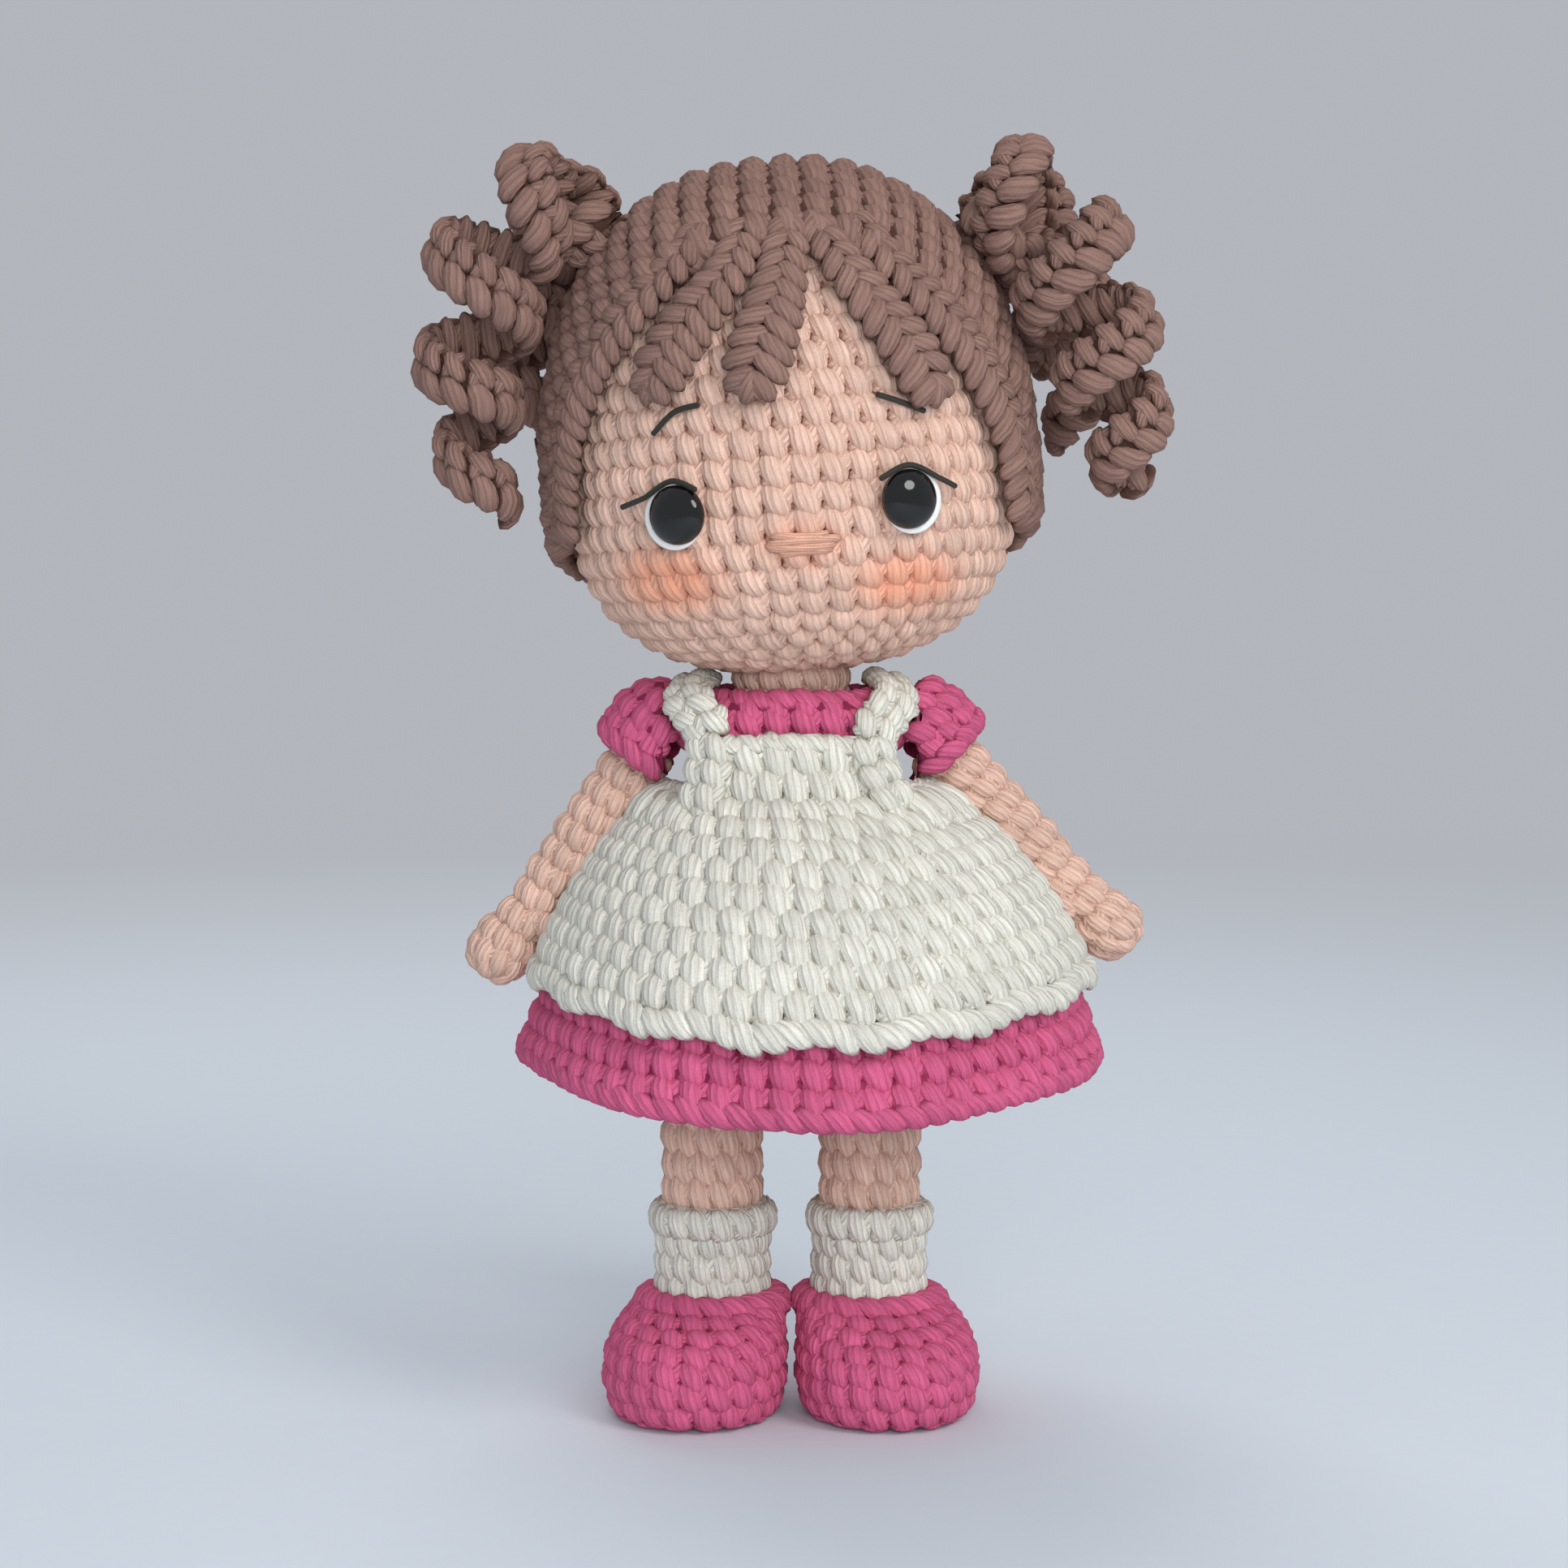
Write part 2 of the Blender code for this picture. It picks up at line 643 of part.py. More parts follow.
def chest_half(place, inward):
    """Half width, half depth and squareness of the bodice at a place, drawn in by a wall."""
    flare = read_share(BODICE_WIDTH_SHARES, place)
    drawn = read_share(DEPTH_SHARES, place)
    width = WAIST_RADIUS + (SHOULDER_HALF - WAIST_RADIUS) * flare
    depth = width * (1.0 - (1.0 - CHEST_DEPTH_SHARE) * drawn)
    power = 2.0 + (SQUARE_POWER_SHARE - 2.0) * drawn
    return width - inward, depth - inward, power


def dress_point(side_deg, place):
    angle = math.radians(side_deg)
    if place < 0.0:
        width, depth, power = chest_half(-place, 0.0)
        east, south = section_point(angle, width, depth, power)
        return Vector((east, south, WAIST_Z - (NECKLINE_Z - WAIST_Z) * place))
    flare = read_share(SKIRT_FLARE_SHARES, place)
    wave = HEM_WAVE * place ** 3 * math.sin(HEM_FOLDS * angle)
    radius = WAIST_RADIUS + (HEM_RADIUS - WAIST_RADIUS) * flare + wave
    sway = SKIRT_SWAY * read_share(SWAY_SHARES, place)
    hem = HEM_Z - HEM_DROOP * math.cos(angle) ** 2
    return Vector((radius * math.sin(angle) + sway, -radius * math.cos(angle),
                   WAIST_Z + (hem - WAIST_Z) * place))


def on_dress(side_deg, place, lift, ease=0.05):
    """A place on the dress and its outward direction, eased over the crease at the waist."""
    across = dress_point(side_deg + 1.0, place) - dress_point(side_deg - 1.0, place)
    high = max(place - ease, -1.0)
    low = min(place + ease, 1.0)
    down = dress_point(side_deg, low) - dress_point(side_deg, high)
    outward = down.cross(across).normalized()
    return dress_point(side_deg, place) + outward * lift, outward


def sheet(name, sides, places_at, inner_lift, outer_lift, colour, looped=False):
    """A closed body of cloth: at each side an outer row of points down and an inner row up."""
    rings = []
    for side_deg in sides:
        places = places_at(side_deg)
        ring = [on_dress(side_deg, place, outer_lift)[0] for place in places]
        ring += [on_dress(side_deg, place, inner_lift)[0] for place in reversed(places)]
        rings.append(ring)
    return add(name, loft(name, rings, looped), colour)


def sides_between(start_deg, end_deg, columns):
    return [start_deg + (end_deg - start_deg) * column / columns for column in range(columns + 1)]


# Body: stuffed torso with the neck in one

BODY_SHARES = ((0.0, 0.42), (0.06, 0.74), (0.18, 0.95), (0.36, 1.0), (0.60, 0.87), (0.80, 0.66), (0.92, 0.55))
CHEST_PLACES = (0.0, 0.28, 0.5, 0.62, 0.75)


def body_rings(grow, count=28):
    rows = []
    for share, radius_share in BODY_SHARES:
        height = BODY_BOTTOM_Z + (WAIST_Z - BODY_BOTTOM_Z) * share
        radius = BODY_WIDE_RADIUS * radius_share + grow
        rows.append((height - (grow if share == 0.0 else 0.0), radius, radius, 2.0))
    for place in CHEST_PLACES:
        width, depth, power = chest_half(place, FABRIC + CLEARANCE - grow)
        rows.append((WAIST_Z + (NECKLINE_Z - WAIST_Z) * place, width, depth, power))
    collar = NECKLINE_Z - (NECKLINE_Z - WAIST_Z) * (1.0 - 0.90)
    rows.append((collar + grow, NECK_RADIUS + grow, NECK_RADIUS + grow, 2.0))
    rows.append((NECK_TOP_Z + grow, NECK_RADIUS + grow, NECK_RADIUS + grow, 2.0))
    rings = []
    for height, width, depth, power in rows:
        ring = []
        for index in range(count):
            east, south = section_point(TURN * index / count, width, depth, power)
            ring.append(Vector((east, south, height)))
        rings.append(ring)
    return rings


body = add("body", loft("body", body_rings(0.0)), SKIN)
body_cutter = as_cutter(add("body_cutter", loft("body_cutter", body_rings(CLEARANCE)), SKIN))


def upright(name, radius, low, high, segments, place=(0.0, 0.0)):
    item = turned(name, disc_profile(radius, low, high), segments)
    item.location = (*place, 0.0)
    return item


neck_support = dress_up(upright("neck_support", SUPPORT_RADIUS, SUPPORT_BOTTOM_Z, SUPPORT_TOP_Z, 14), WOOD)
support_cutter = as_cutter(upright("support_cutter", SUPPORT_RADIUS + CLEARANCE,
                                   SUPPORT_BOTTOM_Z - CLEARANCE, SUPPORT_TOP_Z + CLEARANCE, 14))
socket_cutter = as_cutter(upright("socket_cutter", NECK_RADIUS + CLEARANCE, NECKLINE_Z - OVERRUN,
                                  NECK_TOP_Z + SOCKET_TOP_GAP, 28))
cut(body, support_cutter)
cut(head, socket_cutter)
cut(head, support_cutter)

shoulder_thread = turned("shoulder_thread", disc_profile(
    CORD_RADIUS, -SHOULDER_HALF - CORD_REACH, SHOULDER_HALF + CORD_REACH), 8)
thread_cutter = as_cutter(turned("thread_cutter", disc_profile(
    CORD_RADIUS + CLEARANCE, -SHOULDER_HALF - CORD_REACH - CLEARANCE,
    SHOULDER_HALF + CORD_REACH + CLEARANCE), 8))
for item in (shoulder_thread, thread_cutter):
    item.location = (0.0, 0.0, SHOULDER_Z)
    item.rotation_euler = (0.0, math.pi / 2.0, 0.0)
dress_up(shoulder_thread, CREAM)
cut(body, thread_cutter)


# Bodice and skirt


def bodice_rings(count=40):
    rings = []
    for place in (0.0, 0.14, 0.28, 0.5, 0.62, 0.75, 0.87, 0.96, 1.0):
        rings.append([dress_point(360.0 * index / count, -place) if place else
                      dress_point(360.0 * index / count, 0.0) for index in range(count)])
    return rings


bodice = add("bodice", loft("bodice", bodice_rings()), PINK)
cut(bodice, body_cutter)
armhole_side = 4.0 * SHOULDER_HALF
armhole_plane = SHOULDER_HALF - ARMHOLE_FLAT
for side, sign in (("left", 1.0), ("right", -1.0)):
    cut(bodice, box("armhole_cutter_" + side, (armhole_side, armhole_side, armhole_side),
                    (sign * (armhole_plane + armhole_side / 2.0), 0.0, SHOULDER_Z), (0.0, 0.0, 0.0), None))
cut(bodice, thread_cutter)

SKIRT_PLACES = (0.008, 0.06, 0.14, 0.26, 0.42, 0.62, 0.82, 1.0)


def skirt_places(side_deg):
    return SKIRT_PLACES


first_column = APRON_SIDE_DEG % (360.0 / DRESS_COLUMNS)
skirt_sides = sides_between(first_column, first_column + 360.0, DRESS_COLUMNS)[:-1]
skirt = sheet("skirt", skirt_sides, skirt_places, -FABRIC, 0.0, PINK, True)
cut(skirt, body_cutter)


# Apron: bib and skirt in one, and a band that closes it at the back


def apron_bottom(side_deg):
    """The place of the apron's lower edge at the front."""
    rise = APRON_SIDE_RISE * math.sin(math.radians(side_deg)) ** 2
    hem = HEM_Z - HEM_DROOP * math.cos(math.radians(side_deg)) ** 2
    return (WAIST_Z - (APRON_FRONT_Z + rise)) / (WAIST_Z - hem)


def place_at_height(height):
    return (WAIST_Z - height) / (WAIST_Z - HEM_Z)


BIB_ROW_SHARES = (0.0, 0.28, 0.56, 0.80)
APRON_ROW_SHARES = (0.0, 0.12, 0.28, 0.46, 0.66, 0.84, 1.0)
APRON_JOIN_SHARE = 0.10     # place on the skirt where the bib's rows end
band_top_place = place_at_height(APRON_BAND_TOP_Z)
band_bottom_place = place_at_height(APRON_BAND_BOTTOM_Z)


def apron_places(side_deg):
    bib_top = -(BIB_TOP_Z - WAIST_Z) / (NECKLINE_Z - WAIST_Z)
    fade = min(max((abs(side_deg) - BIB_HALF_DEG) / BIB_FADE_DEG, 0.0), 1.0)
    top = bib_top + (band_top_place - bib_top) * fade
    rows = [top + (APRON_JOIN_SHARE - top) * share for share in BIB_ROW_SHARES]
    fall = apron_bottom(side_deg) - APRON_JOIN_SHARE
    return rows + [APRON_JOIN_SHARE + fall * share for share in APRON_ROW_SHARES]


def band_places(side_deg):
    return [band_top_place, band_bottom_place]


apron_sides = sides_between(-APRON_SIDE_DEG, APRON_SIDE_DEG, APRON_COLUMNS)
apron_inner = CLEARANCE + APRON_EASE
apron_outer = apron_inner + APRON_THICKNESS
apron = sheet("apron", apron_sides, apron_places, apron_inner, apron_outer, CREAM)
band_gap_deg = math.degrees(CLEARANCE / WAIST_RADIUS)
band_sides = sides_between(APRON_SIDE_DEG + band_gap_deg, 360.0 - APRON_SIDE_DEG - band_gap_deg, APRON_COLUMNS)
sheet("apron_band", band_sides, band_places, apron_inner, apron_outer, CREAM)


def tube_on_dress(name, count, place_at, lift, radius, colour, corners=6):
    path = []
    for index in range(count):
        side_deg = APRON_SIDE_DEG * (2.0 * index / (count - 1) - 1.0)
        path.append(on_dress(side_deg, place_at(side_deg), lift))
    stations = []
    for index, (middle, outward) in enumerate(path):
        step = path[min(index + 1, count - 1)][0] - path[max(index - 1, 0)][0]
        side = step.normalized().cross(outward).normalized()
        stations.append((middle, side, outward, radius, radius))
    return add(name, loft(name, band_rings(stations, corners)), colour)


run_at_edge = (dress_point(0.0, 0.8) - dress_point(0.0, 0.6)).length / 0.2


def edge_place(side_deg):
    wave = EDGE_WAVE * (1.0 - math.cos(EDGE_SCALLOPS * math.radians(side_deg)))
    return apron_bottom(side_deg) + (EDGE_RADIUS + 2.0 * CLEARANCE + wave) / run_at_edge


tube_on_dress("apron_edge", 65, edge_place, CLEARANCE + EDGE_RADIUS, EDGE_RADIUS, CREAM)

STRAP_KNOTS = ((38.5, -0.56), (41.0, -0.66), (52, -0.80), (68, -0.93), (90, -0.975), (112, -0.93), (128, -0.80),
               (141, -0.60), (150, -0.35), (154, -0.14), (154.5, -0.02))


def strap(count=18, corners=8):
    half = STRAP_THICKNESS / 2.0
    path = [on_dress(-side_deg, place, CLEARANCE + half)
            for side_deg, place in smooth_path(STRAP_KNOTS, count)]
    stations = []
    for index, (middle, outward) in enumerate(path):
        step = path[min(index + 1, count - 1)][0] - path[max(index - 1, 0)][0]
        across = step.normalized().cross(outward).normalized()
        stations.append((middle, across, outward, STRAP_WIDTH / 2.0, half))
    item = add("apron_strap_right", loft("apron_strap_right", band_rings(stations, corners)), CREAM)
    cut(item, bodice_cutter)
    return item


def mirrored(item, name, colour):
    """A copy of the finished shape on the other side of the centre plane."""
    bpy.context.view_layer.update()
    shape = item.evaluated_get(bpy.context.evaluated_depsgraph_get())
    mesh = bpy.data.meshes.new_from_object(shape)
    mesh.transform(Matrix.Diagonal((-1.0, 1.0, 1.0, 1.0)))
    mesh.flip_normals()
    mesh.materials.clear()
    return add(name, mesh, colour)


def grown_dress(name, lifts, columns=40):
    """A solid that fills the dress out to a lift at each place, as a cutter."""
    rings = [[on_dress(360.0 * index / columns, place, lift)[0] for index in range(columns)]
             for place, lift in lifts]
    return as_cutter(add(name, loft(name, rings), PINK))


BODICE_CUTTER_PLACES = (0.02, -0.14, -0.28, -0.5, -0.62, -0.75, -0.87, -0.96, -1.0)
bodice_cutter = grown_dress("bodice_cutter", [(place, CLEARANCE) for place in BODICE_CUTTER_PLACES])
mirrored(strap(), "apron_strap_left", CREAM)


button_profile = [(0.0, BUTTON_THICKNESS * 0.7), (BUTTON_RADIUS * 0.7, BUTTON_THICKNESS * 0.7),
                  (BUTTON_RADIUS * 0.8, BUTTON_THICKNESS), (BUTTON_RADIUS * 0.95, BUTTON_THICKNESS),
                  (BUTTON_RADIUS, BUTTON_THICKNESS * 0.6), (BUTTON_RADIUS, 0.0), (0.0, 0.0)]
button = dress_up(turned("apron_button", button_profile, 20), WOOD, None, 0.4)
band_middle = (band_top_place + band_bottom_place) / 2.0
spot, outward = on_dress(180.0, band_middle, apron_outer + CLEARANCE)
button.location = spot
button.rotation_euler = along(outward)


# Arms, with the sleeves that turn with them


ARM_RADIUS_SHARES = ((0.0, 1.0), (0.45, 0.95), (0.72, 0.78), (0.80, 0.86), (0.90, 1.06), (0.955, 0.90),
                     (0.985, 0.62), (1.0, 0.30))
# Share of the sleeve's length from the pivot, share of its radius
SLEEVE_OUTER_SHARES = ((-1.12, 0.0), (-1.05, 0.38), (-0.80, 0.70), (-0.36, 0.90), (0.18, 1.0), (0.62, 1.01), (1.0, 0.90))
SHOULDER_SHARES = ((-0.80, 0.0), (-0.64, 0.60), (-0.32, 0.92), (0.10, 1.0))
armhole_gap = armhole_plane + CLEARANCE
rope_lift = apron_inner + 2.0 * EDGE_RADIUS + CLEARANCE
ENVELOPE = ((-0.10, apron_outer), (0.04, apron_outer), (0.14, apron_outer), (0.26, apron_outer),
            (0.42, apron_outer), (0.55, rope_lift), (0.64, rope_lift), (0.76, rope_lift))
dress_envelope = grown_dress("dress_envelope", [(place, lift + CLEARANCE) for place, lift in ENVELOPE],
                             DRESS_COLUMNS)


def swung_envelope(side, sign, steps):
    """The dress as the arm meets it after so many steps of its swing."""
    item = dress_envelope.copy()
    item.name = "dress_envelope_" + side
    tools.objects.link(item)
    pivot = Vector((sign * SHOULDER_HALF, 0.0, SHOULDER_Z))
    swing = Matrix.Rotation(math.radians(steps * SWING_STEP_DEG), 4, "X")
    item.matrix_world = Matrix.Translation(pivot) @ swing @ Matrix.Translation(-pivot)
    return item


def arm_rings(tilt, count=14, corners=14):
    direction = Vector((math.sin(tilt), 0.0, -math.cos(tilt)))
    across = Vector((math.cos(tilt), 0.0, math.sin(tilt)))
    deep = Vector((0.0, 1.0, 0.0))
    sections = [(ARM_RADIUS * place, ARM_RADIUS * full) for place, full in SHOULDER_SHARES[1:]]
    first = sections[-1][0]
    for index in range(1, count):
        share = 1.0 - (1.0 - index / (count - 1)) ** 1.35
        reach = first + (ARM_LENGTH - first) * share
        sections.append((reach, ARM_RADIUS * read_share(ARM_RADIUS_SHARES, reach / ARM_LENGTH)))
    return [[direction * reach + across * (radius * math.cos(TURN * corner / corners))
             + deep * (radius * math.sin(TURN * corner / corners)) for corner in range(corners)]
            for reach, radius in sections]


def arm(side, sign, tilt_deg):
    pivot = empty("shoulder_pivot_" + side, (sign * SHOULDER_HALF, 0.0, SHOULDER_Z))
    tilt = math.radians(tilt_deg) * sign
    direction = Vector((math.sin(tilt), 0.0, -math.cos(tilt)))
    limb = add("arm_" + side, loft("arm_" + side, arm_rings(tilt)), SKIN, pivot)
    bpy.ops.mesh.primitive_uv_sphere_add(segments=12, ring_count=8, radius=THUMB_RADIUS)
    thumb = as_cutter(bpy.context.object)
    thumb.name = "thumb_" + side
    thumb.location = (direction * (ARM_LENGTH - 2.3 * HAND_RADIUS)
                      + Vector((-sign * math.cos(abs(tilt)), 0.0, -math.sin(abs(tilt)))) * WRIST_RADIUS * 0.75
                      + Vector((0.0, -WRIST_RADIUS * 0.55, 0.0)))
    thumb.parent = pivot
    cut(limb, thumb, "UNION")
    block = 4.0 * SHOULDER_HALF
    inner_wall = box("armhole_wall_" + side, (block, block, block),
                     (sign * (armhole_gap - block / 2.0), 0.0, SHOULDER_Z), (0.0, 0.0, 0.0), None)
    cut(limb, inner_wall)
    cut(limb, dress_envelope)
    for steps in range(1, SWING_STEPS + 1):
        cut(limb, swung_envelope(side, sign, steps))
        cut(limb, swung_envelope(side, sign, -steps))
    cut(limb, thread_cutter)

    outer = [(SLEEVE_RADIUS * full, -SLEEVE_LENGTH * place) for place, full in SLEEVE_OUTER_SHARES]
    inner = [(ARM_RADIUS * full + CLEARANCE * (full > 0.0), -ARM_RADIUS * place + CLEARANCE)
             for place, full in SHOULDER_SHARES]
    rim = (ARM_RADIUS + SLEEVE_EASE, -SLEEVE_LENGTH)
    profile = outer + [rim] + list(reversed(inner))
    sleeve = dress_up(turned("sleeve_" + side, profile, 28), PINK, pivot)
    sleeve.rotation_euler = (0.0, -tilt, 0.0)
    cut(sleeve, inner_wall)
    return limb


arm("left", 1.0, LEFT_ARM_TILT_DEG)
arm("right", -1.0, RIGHT_ARM_TILT_DEG)


# Legs, socks and shoes


def leg(side, sign):
    sock_outer = ANKLE_RADIUS + CLEARANCE + SOCK_WALL
    hip = BODY_BOTTOM_Z + 0.45 * (WAIST_Z - BODY_BOTTOM_Z)
    span = hip - SOCK_TOP_Z
    profile = [(0.0, hip), (LEG_RADIUS * 0.9, hip), (LEG_RADIUS, hip - span * 0.15),
               (LEG_RADIUS * 1.02, hip - span * 0.45), (LEG_RADIUS * 0.98, SOCK_TOP_Z + span * 0.25),
               (LEG_RADIUS, SOCK_TOP_Z + LEG_RADIUS * 0.2), (LEG_RADIUS * 0.97, SOCK_TOP_Z + CLEARANCE),
               (ANKLE_RADIUS, SOCK_TOP_Z + CLEARANCE), (ANKLE_RADIUS, SHOE_FLOOR + CLEARANCE),
               (0.0, SHOE_FLOOR + CLEARANCE)]
    limb = dress_up(turned("leg_" + side, profile, 24), SKIN)
    limb.location = (sign * LEG_SPACING, 0.0, 0.0)
    cut(limb, body_cutter)

    inner = ANKLE_RADIUS + CLEARANCE
    cuff = sock_outer + CUFF_ROLL
    low = SOCK_TOP_Z - CUFF_HEIGHT
    sock_profile = [(inner, SOCK_TOP_Z), (cuff - CUFF_ROLL, SOCK_TOP_Z), (cuff, SOCK_TOP_Z - CUFF_HEIGHT * 0.25),
                    (cuff, low + CUFF_HEIGHT * 0.25), (sock_outer - CUFF_ROLL * 0.5, low), (sock_outer,
                    SHOE_HEIGHT), (sock_outer, SHOE_FLOOR + CLEARANCE), (inner, SHOE_FLOOR + CLEARANCE),
                    (inner, SOCK_TOP_Z)]
    sock = dress_up(turned("sock_" + side, sock_profile, 24), CREAM)
    sock.location = limb.location
    return sock_outer


# Height share, share of the way to the ankle's ring, fullness
SHOE_SHARES = ((0.0, 0.0, 0.86), (0.07, 0.0, 0.95), (0.26, 0.0, 1.0), (0.50, 0.0, 1.0), (0.68, 0.14, 0.98),
               (0.82, 0.44, 0.97), (0.91, 0.80, 0.98), (0.96, 1.0, 1.0), (1.0, 1.0, 0.95))


def shoe(side, sign, sock_outer, corners=32):
    ankle = Vector((sign * LEG_SPACING, 0.0, 0.0))
    foot = Vector((sign * FOOT_SPACING, -SHOE_FORWARD, 0.0))
    ring_radius = sock_outer + CLEARANCE + SHOE_RIM
    rings = []
    for height, way, full in SHOE_SHARES:
        middle = foot + (ankle - foot) * way
        width = (SHOE_WIDTH / 2.0 + (ring_radius - SHOE_WIDTH / 2.0) * way) * full
        length = (SHOE_LENGTH / 2.0 + (ring_radius - SHOE_LENGTH / 2.0) * way) * full
        ring = []
        for index in range(corners):
            east, south = section_point(TURN * index / corners, width, length, 2.2)
            ring.append(middle + Vector((east, south, SHOE_HEIGHT * height)))
        rings.append(ring)
    item = add("shoe_" + side, loft("shoe_" + side, rings), PINK)
    pocket = as_cutter(upright("shoe_pocket_" + side, sock_outer + CLEARANCE, SHOE_FLOOR,
                               SHOE_HEIGHT + OVERRUN, 24, (sign * LEG_SPACING, 0.0)))
    cut(item, pocket)
    return item


for side, sign in (("left", 1.0), ("right", -1.0)):
    shoe(side, sign, leg(side, sign))

bpy.context.view_layer.update()
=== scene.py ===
import math

import bmesh
import bpy
from mathutils import Matrix, Vector


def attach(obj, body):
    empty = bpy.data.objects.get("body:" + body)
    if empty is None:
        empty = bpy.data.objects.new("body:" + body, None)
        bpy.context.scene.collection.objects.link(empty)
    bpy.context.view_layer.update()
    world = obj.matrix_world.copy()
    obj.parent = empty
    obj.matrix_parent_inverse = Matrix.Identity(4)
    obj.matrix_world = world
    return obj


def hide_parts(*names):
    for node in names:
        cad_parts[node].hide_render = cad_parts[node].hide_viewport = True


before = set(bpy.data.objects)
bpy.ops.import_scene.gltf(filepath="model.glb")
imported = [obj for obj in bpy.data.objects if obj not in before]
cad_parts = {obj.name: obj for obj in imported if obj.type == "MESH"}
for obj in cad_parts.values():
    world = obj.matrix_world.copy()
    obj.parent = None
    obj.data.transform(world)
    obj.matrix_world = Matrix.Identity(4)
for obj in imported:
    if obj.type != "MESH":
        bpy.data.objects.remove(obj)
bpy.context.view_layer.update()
print("frame loaded with", len(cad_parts), "nodes")

# Camera, floor and light

camera = {"place": (-0.001, -0.500, 0.1305), "pitchDown": 4.8, "lens": 81.5, "sensor": 36.0, "near": 0.02,
          "far": 20.0}
studio = {
    "floorColour": (0.70, 0.755, 0.81), "floorReach": 3.0, "floorSides": 96, "grainScale": 260.0, "grainShare": 0.02,
    "backColour": (0.45, 0.465, 0.50), "glowStart": 0.05, "glowDepth": 0.9,
    "skyColour": (0.82, 0.87, 0.95), "skyStrength": 0.46, "aim": (0.0, 0.0, 0.10),
}
# place, size, power, colour
lamps = {
    "keyLamp": ((0.42, -0.52, 0.55), 0.36, 2.2, (1.0, 0.985, 0.96)),
    "fillLamp": ((0.08, -0.86, 0.27), 0.50, 4.1, (0.95, 0.97, 1.0)),
    "backLamp": ((-0.15, 0.55, 0.60), 0.6, 2.1, (1.0, 1.0, 1.0)),
}


def addObject(name, data):
    made = bpy.data.objects.new(name, data)
    bpy.context.scene.collection.objects.link(made)
    return made


def makeCamera():
    lens = bpy.data.cameras.new("camera")
    lens.lens = camera["lens"]
    lens.sensor_width = camera["sensor"]
    lens.clip_start = camera["near"]
    lens.clip_end = camera["far"]
    stand = addObject("camera", lens)
    stand.location = camera["place"]
    stand.rotation_euler = (math.radians(90.0 - camera["pitchDown"]), 0.0, 0.0)
    bpy.context.scene.camera = stand


def makeLamp(name, place, size, power, colour):
    lamp = bpy.data.lights.new(name, "AREA")
    lamp.shape = "DISK"
    lamp.size = size
    lamp.energy = power
    lamp.color = colour
    stand = addObject(name, lamp)
    stand.location = place
    stand.rotation_euler = (Vector(studio["aim"]) - Vector(place)).to_track_quat("-Z", "Y").to_euler()
    stand.visible_glossy = name == "keyLamp"     # the eyes mirror one window only
    stand.visible_camera = False


# Nodes: an input is either a constant or the socket that it is linked to

def feed(tree, node, inputs):
    for key, value in inputs.items():
        if isinstance(value, bpy.types.NodeSocket):
            tree.links.new(value, node.inputs[key])
        else:
            node.inputs[key].default_value = value


def addNode(tree, kind, inputs=None, **settings):
    made = tree.nodes.new(kind)
    for key, value in settings.items():
        setattr(made, key, value)
    feed(tree, made, inputs or {})
    return made


def mathNode(tree, operation, *values, clamp=False):
    return addNode(tree, "ShaderNodeMath", dict(enumerate(values)), operation=operation, use_clamp=clamp).outputs[0]


def chained(tree, operation, *values):
    made = values[0]
    for value in values[1:]:
        made = mathNode(tree, operation, made, value)
    return made


def mixColours(tree, share, first, second, blend="MIX"):
    inputs = {slot: (*value, 1.0) if isinstance(value, tuple) else value
              for slot, value in ((0, share), (6, first), (7, second))}
    return addNode(tree, "ShaderNodeMix", inputs, data_type="RGBA", blend_type=blend).outputs[2]


def ranged(tree, value, start, end, low, high, smooth=False):
    inputs = {"Value": value, "From Min": start, "From Max": end, "To Min": low, "To Max": high}
    kind = "SMOOTHSTEP" if smooth else "LINEAR"
    return addNode(tree, "ShaderNodeMapRange", inputs, interpolation_type=kind).outputs[0]


def ownPlace(tree):
    return addNode(tree, "ShaderNodeTexCoord").outputs["Object"]


def noiseOn(tree, place, scale, detail, roughness=0.5, distortion=0.0):
    inputs = {"Vector": place, "Scale": scale, "Detail": detail, "Roughness": roughness, "Distortion": distortion}
    return addNode(tree, "ShaderNodeTexNoise", inputs).outputs


def lengthOf(tree, vector):
    return addNode(tree, "ShaderNodeVectorMath", {0: vector}, operation="LENGTH").outputs["Value"]


def addRelief(tree, shader, height, strength, depth):
    bump = addNode(tree, "ShaderNodeBump", {"Height": height, "Strength": strength, "Distance": depth})
    feed(tree, shader, {"Normal": bump.outputs[0]})


def darker(colour, share):
    return tuple(value * share for value in colour)


def newMaterial(name):
    material = bpy.data.materials.new(name)
    material.use_nodes = True
    tree = material.node_tree
    return material, tree, tree.nodes["Principled BSDF"]


def seenRays(tree):
    # 1 for the rays that reach the picture straight or by way of a mirror-like surface
    rays = addNode(tree, "ShaderNodeLightPath").outputs
    seen = mathNode(tree, "ADD", rays["Is Camera Ray"], rays["Is Glossy Ray"], clamp=True)
    return mathNode(tree, "ADD", seen, rays["Is Transmission Ray"], clamp=True)


def mixInto(tree, share, first, second, target):
    both = addNode(tree, "ShaderNodeMixShader", {0: share, 1: first, 2: second})
    feed(tree, tree.nodes[target], {"Surface": both.outputs[0]})


